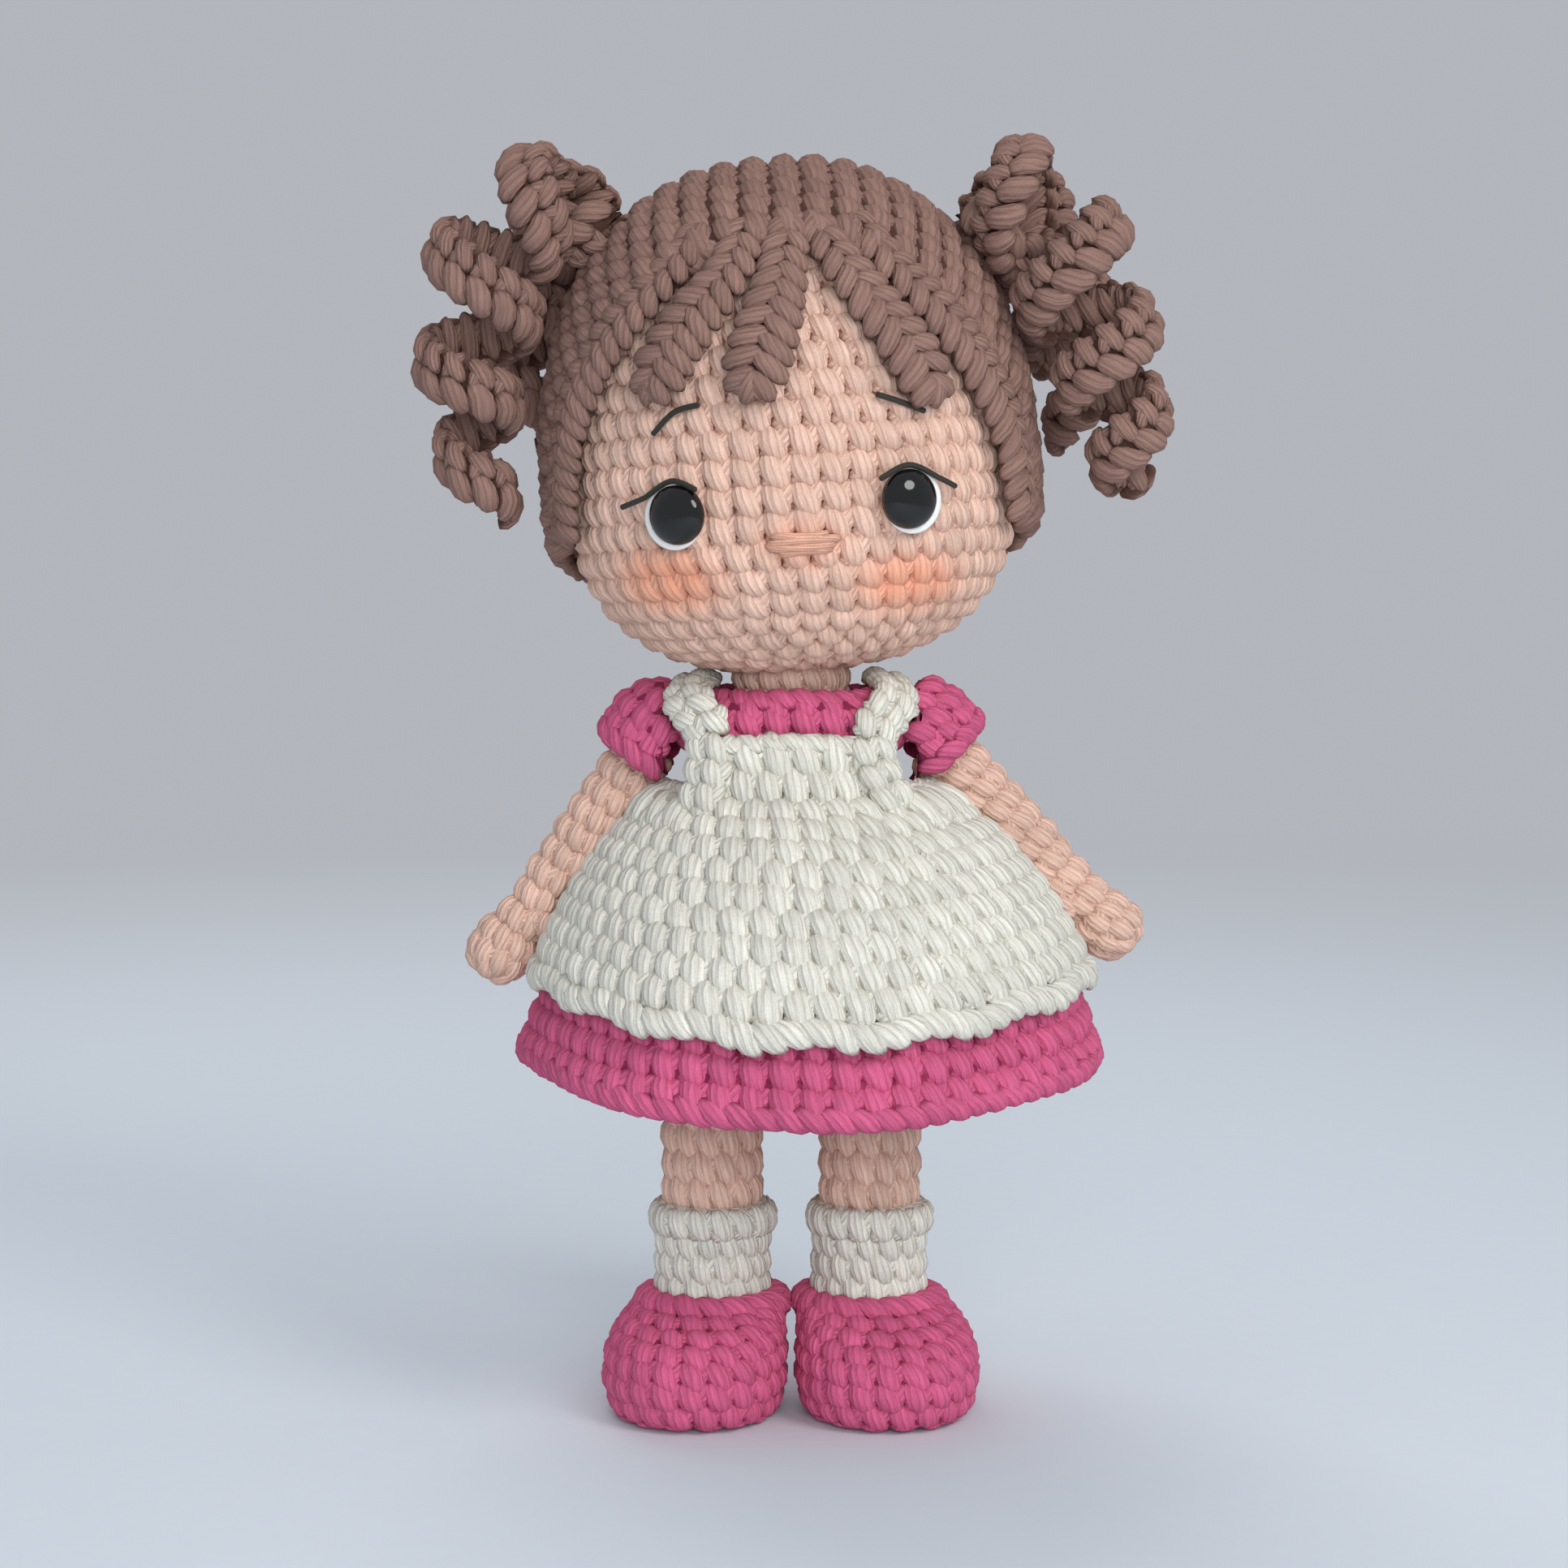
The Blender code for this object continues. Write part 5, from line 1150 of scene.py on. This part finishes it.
def strapCells(sign):
    half = strap["thickness"] / 2.0
    knots = [(sign * spot[0] + sway, *spot[1:], sign * out[0], *out[1:]) for spot, out, sway in strapFoot]
    for turn, place in smoothPath(strapKnots, 15)[1:]:
        middle, outward = onDress(sign * turn, place, apron["gap"] + half)
        knots.append((*middle, *outward))
    fine = smoothPath(knots, strap["points"])
    middles = [Vector(row[:3]) for row in fine]
    path = []
    for index, row in enumerate(fine):
        outward = Vector(row[3:]).normalized()
        side = aheadAt(middles, index).cross(outward).normalized()
        path.append((middles[index], side, outward, strap["width"] / 2.0, half))
    return bandCells(resample(path, strap["stitch"]), strap["kinds"], relief=0.90, proud=0.0004)


def makeStraps():
    for number, (side, sign) in enumerate((("left", 1.0), ("right", -1.0))):
        cells = [cell for cell in strapCells(sign) if not isFoot(cell)]
        crochetPiece("apronStrap" + side.capitalize(), cells, "apron_strap_" + side, "torso", "cream", inset=0.0005,
                     seed=53 + number)


def makeApronBand():
    # two ropes that slant against each other, as a braid
    top, bottom = placeAtHeight(apron["bandTopZ"]), placeAtHeight(apron["bandBottomZ"])
    ends = (apron["sideDeg"] + 2.0, 358.0 - apron["sideDeg"])
    cells = []
    for share, kind in ((0.23, "dTurn"), (0.77, "fTurn")):
        path = openCurve(lambda turn: onDress(turn, bottom + (top - bottom) * share, apronOuter), *ends, 120)
        cells += ropeCells(path, kind=kind, loop=False, **apronRopes["band"])
    crochetPiece("apronBand", cells, "apron_band", "torso", "cream", inset=0.0006, seed=56)


# Body, arms and legs

body = {"wideRadius": 0.0185, "bottomZ": 0.0560, "neckRadius": 0.0086, "neckTopZ": 0.1085, "neckFromZ": 0.0990,
        "hipsEnd": 0.86, "stitchWide": 0.0042, "stitchHigh": 0.0040, "neckWide": 0.0036, "neckHigh": 0.0034,
        "floorRadii": (0.0008, 0.0042, 0.0076)}
bodyShares = ((0.0, 0.42), (0.06, 0.74), (0.18, 0.95), (0.36, 1.0), (0.60, 0.87), (0.80, 0.66), (0.92, 0.55))


def tubeRows(radius, low, high, step, wide, centre=0.0, **settings):
    heights = evenPlaces(lambda height: roundAt(radius, 0.0, height, centre), low, high, step)
    curves = [ringCurve(lambda turn: roundAt(radius, turn, height, centre), 48) for height in heights]
    return stitchRows(curves, wide, **settings)


def tubeRope(radius, height, rise, count, centre, rope):
    def at(turn):
        return roundAt(radius, turn, height, centre), roundAt(1.0, turn, rise).normalized()

    return ropeCells(ringCurve(at, count), **rope)


def makeBody():
    tall, bottom = dress["waistZ"] - body["bottomZ"], body["bottomZ"]

    def hips(turn, share):
        return roundAt(body["wideRadius"] * readTable(bodyShares, share), turn, bottom + tall * share)

    shares = evenPlaces(lambda share: hips(0.0, share), 0.0, body["hipsEnd"], body["stitchHigh"])
    curves = [ringCurve(lambda turn: hips(turn, share), 48) for share in shares]
    cells = stitchRows(curves, body["stitchWide"], proud=0.0)
    floor = [ringCurve(lambda turn: roundAt(radius, turn, bottom), 36) for radius in body["floorRadii"]]
    cells += stitchRows(floor, body["stitchHigh"], proud=0.0)
    cells += tubeRows(body["neckRadius"], body["neckFromZ"], body["neckTopZ"] - 0.0002, body["neckHigh"],
                      body["neckWide"], proud=0.0)
    crochetPiece("bodyBall", cells, "body", "torso", "skin", inset=0.0013, seed=61)


arm = {"radius": 0.0050, "wristRadius": 0.0038, "handRadius": 0.0054, "length": 0.0445, "tilts": (44.0, 36.5),
       "thumbRadius": 0.0027, "stitchWide": 0.0034, "stitchHigh": 0.0034, "from": 0.09, "wallRoom": 0.0008,
       "shares": ((0.0, 1.0), (0.45, 0.95), (0.72, 0.78), (0.80, 0.86), (0.90, 1.06), (0.955, 0.90), (0.985, 0.62),
                  (1.0, 0.30)),
       "rows": {"lean": 0.38, "proud": 0.0001}}
thumb = {"up": 2.3, "out": 0.75, "ahead": 0.55, "rings": ((20.0, 3), (62.0, 5)), "size": (0.0027, 0.0027, 0.00243)}
sleeve = {"radius": 0.0084, "length": 0.0056, "stitchWide": 0.00378, "stitchHigh": 0.0036, "from": -1.06,
          "wallRoom": 0.0004, "rimIn": 0.0006, "rimSplay": 0.9, "rimRoom": 0.0012,
          "shares": ((-1.12, 0.0), (-1.05, 0.38), (-0.80, 0.70), (-0.36, 0.90), (0.18, 1.0), (0.62, 1.01),
                     (1.0, 0.90)),
          "rows": {"proud": 0.0002}, "rope": {"wide": 0.0030, "step": 0.0031, "proud": 0.0010, "closeUp": 1.3}}


def makeArm(number, side, sign, tiltDeg):
    tilt, wall = math.radians(tiltDeg) * sign, dress["shoulderHalf"] - 0.0003
    pivot = Vector((sign * dress["shoulderHalf"], 0.0, dress["shoulderZ"]))
    direction = Vector((math.sin(tilt), 0.0, -math.cos(tilt)))
    across, deep = Vector((math.cos(tilt), 0.0, math.sin(tilt))), Vector((0.0, 1.0, 0.0))

    def around(turn):
        return across * math.sin(math.radians(turn)) - deep * math.cos(math.radians(turn))

    def at(piece, turn, share):
        radius = piece["radius"] * readTable(piece["shares"], share)
        return pivot + direction * (piece["length"] * share) + around(turn) * radius

    def rows(piece):
        shares = evenPlaces(lambda share: at(piece, 0.0, share), 1.0, piece["from"], piece["stitchHigh"])
        curves = [ringCurve(lambda turn: at(piece, turn, share), 48) for share in shares]
        room = wall + piece["wallRoom"]
        return stitchRows(curves, piece["stitchWide"], relief=0.9, keep=lambda middle: sign * middle.x > room,
                          **piece["rows"])

    cells = rows(arm)
    thumbAt = (pivot + direction * (arm["length"] - thumb["up"] * arm["handRadius"])
               - across * (sign * arm["wristRadius"] * thumb["out"]) - deep * (arm["wristRadius"] * thumb["ahead"]))
    for row, (ringDeg, count) in enumerate(thumb["rings"]):
        ring = math.radians(ringDeg)
        for index in range(count):
            turn = 2.0 * math.pi * (index + 0.3 * row) / count
            out = direction * math.cos(ring) + (across * math.cos(turn) + deep * math.sin(turn)) * math.sin(ring)
            out = (out + Vector((-sign * 0.5, -0.4, 0.0))).normalized()
            right = direction.cross(out).normalized()
            cells.append(makeCell(thumbAt + out * arm["thumbRadius"], out, right, thumb["size"], "aCross", 0.0002))
    crochetPiece("arm" + side.capitalize(), cells, "arm_" + side, side + "_arm", "skin", inset=0.0011,
                 seed=70 + number)

    rim = ringCurve(lambda turn: (at(sleeve, turn, 1.0) - around(turn) * sleeve["rimIn"],
                                  (around(turn) + direction * sleeve["rimSplay"]).normalized()), 48)
    cells = rows(sleeve) + [cell for cell in ropeCells(rim, **sleeve["rope"])
                            if sign * cell["place"].x > wall + sleeve["rimRoom"]]
    crochetPiece("sleeve" + side.capitalize(), cells, "sleeve_" + side, side + "_arm", "dress", inset=0.0008,
                 seed=74 + number)


leg = {"spacing": 0.0112, "radius": 0.0072, "ankle": 0.0062, "topZ": 0.0600, "stitchWide": 0.0038,
       "stitchHigh": 0.0037, "rows": {"lean": 0.2, "proud": 0.0002, "overlap": 1.10}}
sock = {"topZ": 0.0285, "fromZ": 0.0120, "wall": 0.0019, "cuffRoll": 0.0007, "cuffHeight": 0.0034,
        "stitchWide": 0.0036, "stitchHigh": 0.0034, "rows": {"lean": 0.3, "proud": 0.0001, "overlap": 1.18},
        "cuffRows": {"proud": 0.0003, "relief": 0.8, "overlap": 1.1},
        "rope": {"wide": 0.0026, "step": 0.0030, "proud": 0.0007, "closeUp": 1.3}}
shoe = {"width": 0.0264, "length": 0.0340, "height": 0.0160, "forward": 0.0050, "spacing": 0.0136, "rim": 0.0022,
        "gap": 0.0003, "power": 2.2, "stitchWide": 0.0042, "stitchHigh": 0.0036,
        "soleShares": (0.86, 0.66, 0.46, 0.26, 0.06), "rows": {"proud": 0.0001},
        "soleRows": {"proud": -0.00015, "relief": 0.5},
        "rope": {"wide": 0.0034, "step": 0.0036, "proud": 0.0011, "closeUp": 1.3}}
# height, how far the section has moved from the foot's to the ankle's, fullness
shoeShares = ((0.0, 0.0, 0.86), (0.07, 0.0, 0.95), (0.26, 0.0, 1.0), (0.50, 0.0, 1.0), (0.68, 0.14, 0.98),
              (0.82, 0.44, 0.97), (0.91, 0.80, 0.98), (0.96, 1.0, 1.0), (1.0, 1.0, 0.95))


def makeLeg(number, side, sign):
    x, top = sign * leg["spacing"], sock["topZ"]
    cells = tubeRows(leg["radius"], top + 0.0002, leg["topZ"], leg["stitchHigh"], leg["stitchWide"], x, **leg["rows"])
    crochetPiece("leg" + side.capitalize(), cells, "leg_" + side, "torso", "skin", inset=0.0012,
                 seed=80 + number)
    outer, cuffZ = leg["ankle"] + 0.0003 + sock["wall"], top - sock["cuffHeight"]
    sizes = (sock["stitchHigh"], sock["stitchWide"], x)
    cells = tubeRows(outer, sock["fromZ"], cuffZ + 0.0002, *sizes, **sock["rows"])
    cells += tubeRows(outer + sock["cuffRoll"], cuffZ, top - 0.0002, *sizes, **sock["cuffRows"])
    cells += tubeRope(outer - 0.0008, top - 0.0003, 1.6, 48, x, sock["rope"])
    crochetPiece("sock" + side.capitalize(), cells, "sock_" + side, "torso", "cream", inset=0.0006,
                 seed=82 + number)


def makeShoe(number, side, sign):
    ankle = Vector((sign * leg["spacing"], 0.0, 0.0))
    foot = Vector((sign * shoe["spacing"], -shoe["forward"], 0.0))
    ring = leg["ankle"] + 0.0003 + sock["wall"] + shoe["gap"] + shoe["rim"]
    halfWidth, halfLength = shoe["width"] / 2.0, shoe["length"] / 2.0
    ways = tuple((height, way) for height, way, _ in shoeShares)
    fulls = tuple((height, full) for height, _, full in shoeShares)

    def upper(turn, height):
        way, full = readTable(ways, height), readTable(fulls, height)
        width, length = ((half + (ring - half) * way) * full for half in (halfWidth, halfLength))
        east, south = sectionPoint(math.radians(turn), width, length, shoe["power"])
        return foot + (ankle - foot) * way + Vector((east, south, shoe["height"] * height))

    def under(turn, share):
        east, south = sectionPoint(math.radians(-turn), halfWidth * share, halfLength * share, shoe["power"])
        return foot + Vector((east, south, 0.0))

    heights = evenPlaces(lambda height: upper(0.0, height), 0.02, 0.955, shoe["stitchHigh"])
    curves = [ringCurve(lambda turn: upper(turn, height), 72) for height in heights]
    cells = stitchRows(curves, shoe["stitchWide"], **shoe["rows"])
    cells += tubeRope(ring - 0.0009, shoe["height"] - 0.0006, 1.3, 60, ankle.x, shoe["rope"])
    sole = [ringCurve(lambda turn: under(turn, share), 60) for share in shoe["soleShares"]]
    cells += stitchRows(sole, shoe["stitchWide"], **shoe["soleRows"])
    crochetPiece("shoe" + side.capitalize(), cells, "shoe_" + side, "torso", "dress", inset=0.0012,
                 seed=84 + number)


# Face: eyes, felt, threads and the nose

felt = {"radius": 0.0044, "thick": 0.0005, "crown": 1.3, "sideShift": 0.001035, "dropShift": 0.000315, "gap": 0.0003,
        "profile": ((0.0, 1.0), (0.45, 0.98), (0.80, 0.86), (0.95, 0.62), (1.0, 0.30), (0.97, 0.0), (0.0, 0.0))}
eye = {"radius": 0.0040, "dome": 0.0029, "edge": 0.2, "steps": 14, "stemRadius": 0.0015, "stemLength": 0.0100,
       "gap": 0.0006}
thread = {"radius": 0.0004, "endShare": 0.6, "lashGap": 0.0011, "browGap": 0.0005}
lashes = {
    "lash_left": ((20.4, 0.006), (27.6, 0.044), (34.4, 0.010), (41.0, -0.054)),
    "lash_right": ((-22.0, 0.012), (-28.4, 0.045), (-36.6, -0.006), (-43.2, -0.042)),
}
brows = {
    "brow_left": ((22.2, 0.270), (27.9, 0.245), (35.2, 0.208)),
    "brow_right": ((-21.1, 0.275), (-27.9, 0.258), (-34.1, 0.194)),
}


def tubeMesh(name, path, radii, sides=8):
    points, normal = [], aheadAt(path, 0).orthogonal()
    for index, middle in enumerate(path):
        ahead = aheadAt(path, index)
        normal = (normal - ahead * normal.dot(ahead)).normalized()
        other = ahead.cross(normal)
        for corner in range(sides):
            angle = 2.0 * math.pi * corner / sides
            points.append(middle + (normal * math.cos(angle) + other * math.sin(angle)) * radii[index])
    return meshFrom(name, points, *tubeFaces(0, runLengths(path), sides))


def turnedMesh(name, centre, outward, profile, sides):
    # a closed round of (radius, level) whose first and last radius is nothing
    across = outward.orthogonal().normalized()
    other = outward.cross(across)
    points, faces = [], []
    for radius, level in profile:
        for corner in range(sides if radius else 1):
            angle = 2.0 * math.pi * corner / sides
            points.append(centre + (across * math.cos(angle) + other * math.sin(angle)) * radius + outward * level)
    last = len(points) - 1
    for corner in range(sides):
        after = (corner + 1) % sides
        faces += [(0, 1 + corner, 1 + after), (last, last - sides + after, last - sides + corner)]
        for low in range(1, last - sides, sides):
            faces.append((low + corner, low + sides + corner, low + sides + after, low + after))
    return meshFrom(name, points, faces)


def threadFinish(name, colour, turns, shine=0.3):
    # twisted thread: three plies wind round it, read from the tube's own UV map, with painted shade in the lines
    # between them
    material, tree, shader = newMaterial(name)
    ply = woundPly(tree, *strandPlace(tree), 6.0, 2.0 * turns)
    share = ranged(tree, ply, 0.0, 0.6, 0.35, 1.0)
    addRelief(tree, shader, ply, 0.7, 0.0001)
    feed(tree, shader, {"Base Color": mixColours(tree, share, darker(colour, 0.4), colour), "Roughness": 0.6,
                        "Sheen Weight": shine})
    return material


def plainFinish(name, colour, roughness, scale, depth, spread=0.12, inputs=None):
    # colour and surface vary with noise on the piece's own places
    material, tree, shader = newMaterial(name)
    noise = noiseOn(tree, ownPlace(tree), scale, 4.0, 0.6)["Fac"]
    low, high = darker(colour, 1.0 - spread), tuple(min(value * (1.0 + spread), 1.0) for value in colour)
    rough = ranged(tree, noise, 0.0, 1.0, roughness * 0.85, min(roughness * 1.15, 1.0))
    addRelief(tree, shader, noise, 0.5, depth)
    feed(tree, shader, {"Base Color": mixColours(tree, noise, low, high), "Roughness": rough, **(inputs or {})})
    return material


def woodFinish(name, colour, rings):
    material, tree, shader = newMaterial(name)
    stretch = addNode(tree, "ShaderNodeMapping", {"Vector": ownPlace(tree), "Scale": (1.0, 1.0, 0.12)}).outputs[0]
    grain = noiseOn(tree, stretch, rings, 5.0, distortion=0.6)["Fac"]
    addRelief(tree, shader, grain, 0.3, 0.00008)
    feed(tree, shader, {"Base Color": mixColours(tree, grain, darker(colour, 0.6), colour), "Roughness": 0.45})
    return material


def eyeProfile():
    edge, low, stem = eye["radius"], eye["dome"] * eye["edge"], eye["stemRadius"]
    turns = [math.pi / 2.0 * step / eye["steps"] for step in range(1, eye["steps"] + 1)]
    dome = [(edge * math.sin(turn), low + (eye["dome"] - low) * math.cos(turn)) for turn in turns]
    return [(0.0, eye["dome"]), *dome, (edge, low * 0.5), (edge * 0.985, low * 0.15), (edge * 0.95, 0.0), (stem, 0.0),
            (stem, -eye["stemLength"]), (0.0, -eye["stemLength"])]


def makeFace():
    white = plainFinish("whiteFelt", (0.86, 0.85, 0.82), 0.95, 2600.0, 0.0002, 0.06, {"Sheen Weight": 0.4})
    gloss = plainFinish("eyeGloss", (0.003, 0.003, 0.0035), 0.07, 90.0, 0.0, 0.2, {"Specular IOR Level": 0.6})
    plastic = plainFinish("washerPlastic", (0.82, 0.82, 0.80), 0.4, 300.0, 0.00002, 0.05)
    dark = threadFinish("faceThread", (0.026, 0.024, 0.017), 900.0, 0.06)
    crowned = [(share * felt["radius"], level * felt["thick"] * felt["crown"]) for share, level in felt["profile"]]
    for side, sign in (("left", 1.0), ("right", -1.0)):
        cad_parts["eye_washer_" + side].material_slots[0].material = plastic
        spot, outward = onHead(sign * head["eyeTurn"], head["eyeShare"])
        shift = headTilt @ Vector((sign * felt["sideShift"], 0.0, -felt["dropShift"]))
        label = "eyeWhite" + side.capitalize()
        disc = turnedMesh(label, spot + shift + outward * felt["gap"], outward, crowned, 40)
        placePiece(label, disc, white, "head_group", "eye_white_" + side)
        label = "eyeDome" + side.capitalize()
        dome = turnedMesh(label, spot + outward * (felt["thick"] + eye["gap"]), outward, eyeProfile(), 48)
        placePiece(label, dome, gloss, "head_group", "eye_" + side)
    lashLift = thread["radius"] + felt["thick"] + thread["lashGap"]
    browLift = thread["radius"] + thread["browGap"]
    for table, lift, count in ((lashes, lashLift, 40), (brows, browLift, 32)):
        ends = (0, count - 1)
        radii = [thread["radius"] * (thread["endShare"] if index in ends else 1.0) for index in range(count)]
        for name, knots in table.items():
            path = [onHead(turn, share, lift)[0] for turn, share in smoothPath(knots, count)]
            label = camelName(name)
            placePiece(label, tubeMesh(label, path, radii), dark, "head_group", name)


nose = {"turn": 1.8, "share": -0.29, "wide": 0.0092, "high": 0.0027, "yarn": 0.00062, "sunk": -0.0010, "rings": 12,
        "relief": 0.0010, "radii": (0.7, 0.95, 1.0, 0.95, 0.7),
        # level, share of the width, bend, lift, shift
        "rows": ((-0.78, 0.74, 0.00012, -0.0001, 0.0003), (-0.26, 0.97, -0.00015, 0.0002, -0.0002),
                 (0.26, 1.0, 0.00015, 0.0002, 0.0002), (0.78, 0.78, -0.00015, -0.0001, -0.0003))}


def makeNose():
    # turns of yarn side by side, each end drawn into the face
    spot, outward = onHead(nose["turn"], nose["share"])
    across = headTilt @ Vector((1.0, 0.0, 0.0))
    across = (across - outward * across.dot(outward)).normalized()
    yarn = []
    for level, share, bend, lift, shift in nose["rows"]:
        high, half = level * nose["high"] / 2.0, share * nose["wide"] / 2.0
        foot, near = high * 0.86 - bend, half * 0.82
        knots = ((shift - half, foot, nose["sunk"]), (shift - near, high - bend * 0.5, lift * 0.3),
                 (shift, high + bend, lift), (shift + near, high + bend * 0.4, lift * 0.3),
                 (shift + half, foot, nose["sunk"]))
        yarn.append((knots, [value * nose["yarn"] for value in nose["radii"]]))
    mesh = buildStrands("noseYarn", yarn, nose["rings"], nose["relief"])
    mesh.transform(Matrix.Translation(spot) @ Matrix((across, outward.cross(across), outward)).transposed().to_4x4())
    addValues(mesh, "tone", "FLOAT", [0.3 + 0.1 * (index % 4) for index in range(len(mesh.vertices))])
    placePiece("noseYarn", mesh, materials["nose"], "head_group", "nose")


makeHead()
makeCap()
for strandNumber, (strandName, strandKnots) in enumerate(strands.items()):
    makeStrand(strandNumber, strandName, strandKnots)
for curlNumber, (curlName, curlFacts) in enumerate(curls.items()):
    makeCurl(curlNumber, curlName, *curlFacts)
makeFace()
makeNose()
print("head finished")
makeBody()
makeBodice()
makeSkirt()
makeApron()
makeApronEdge()
makeStraps()
makeApronBand()
print("dress and apron finished")
for sideNumber, (sideName, sideSign) in enumerate((("left", 1.0), ("right", -1.0))):
    makeArm(sideNumber, sideName, sideSign, arm["tilts"][sideNumber])
    makeLeg(sideNumber, sideName, sideSign)
    makeShoe(sideNumber, sideName, sideSign)
print("limbs finished")

# Button, neck support and the thread through both arms

wood = woodFinish("turnedWood", (0.52, 0.34, 0.19), 420.0)
for woodNode in ("neck_support", "apron_button"):
    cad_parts[woodNode].material_slots[0].material = wood
seam = {"halfLength": 0.0206, "radius": 0.0008, "steps": 40}
seamPath = openCurve(lambda x: Vector((x, 0.0, dress["shoulderZ"])), -seam["halfLength"], seam["halfLength"],
                     seam["steps"])
seamMesh = tubeMesh("shoulderThread", seamPath, [seam["radius"]] * len(seamPath))
placePiece("shoulderThread", seamMesh, threadFinish("shoulderThread", (0.80, 0.76, 0.66), 500.0), "torso",
           "shoulder_thread")
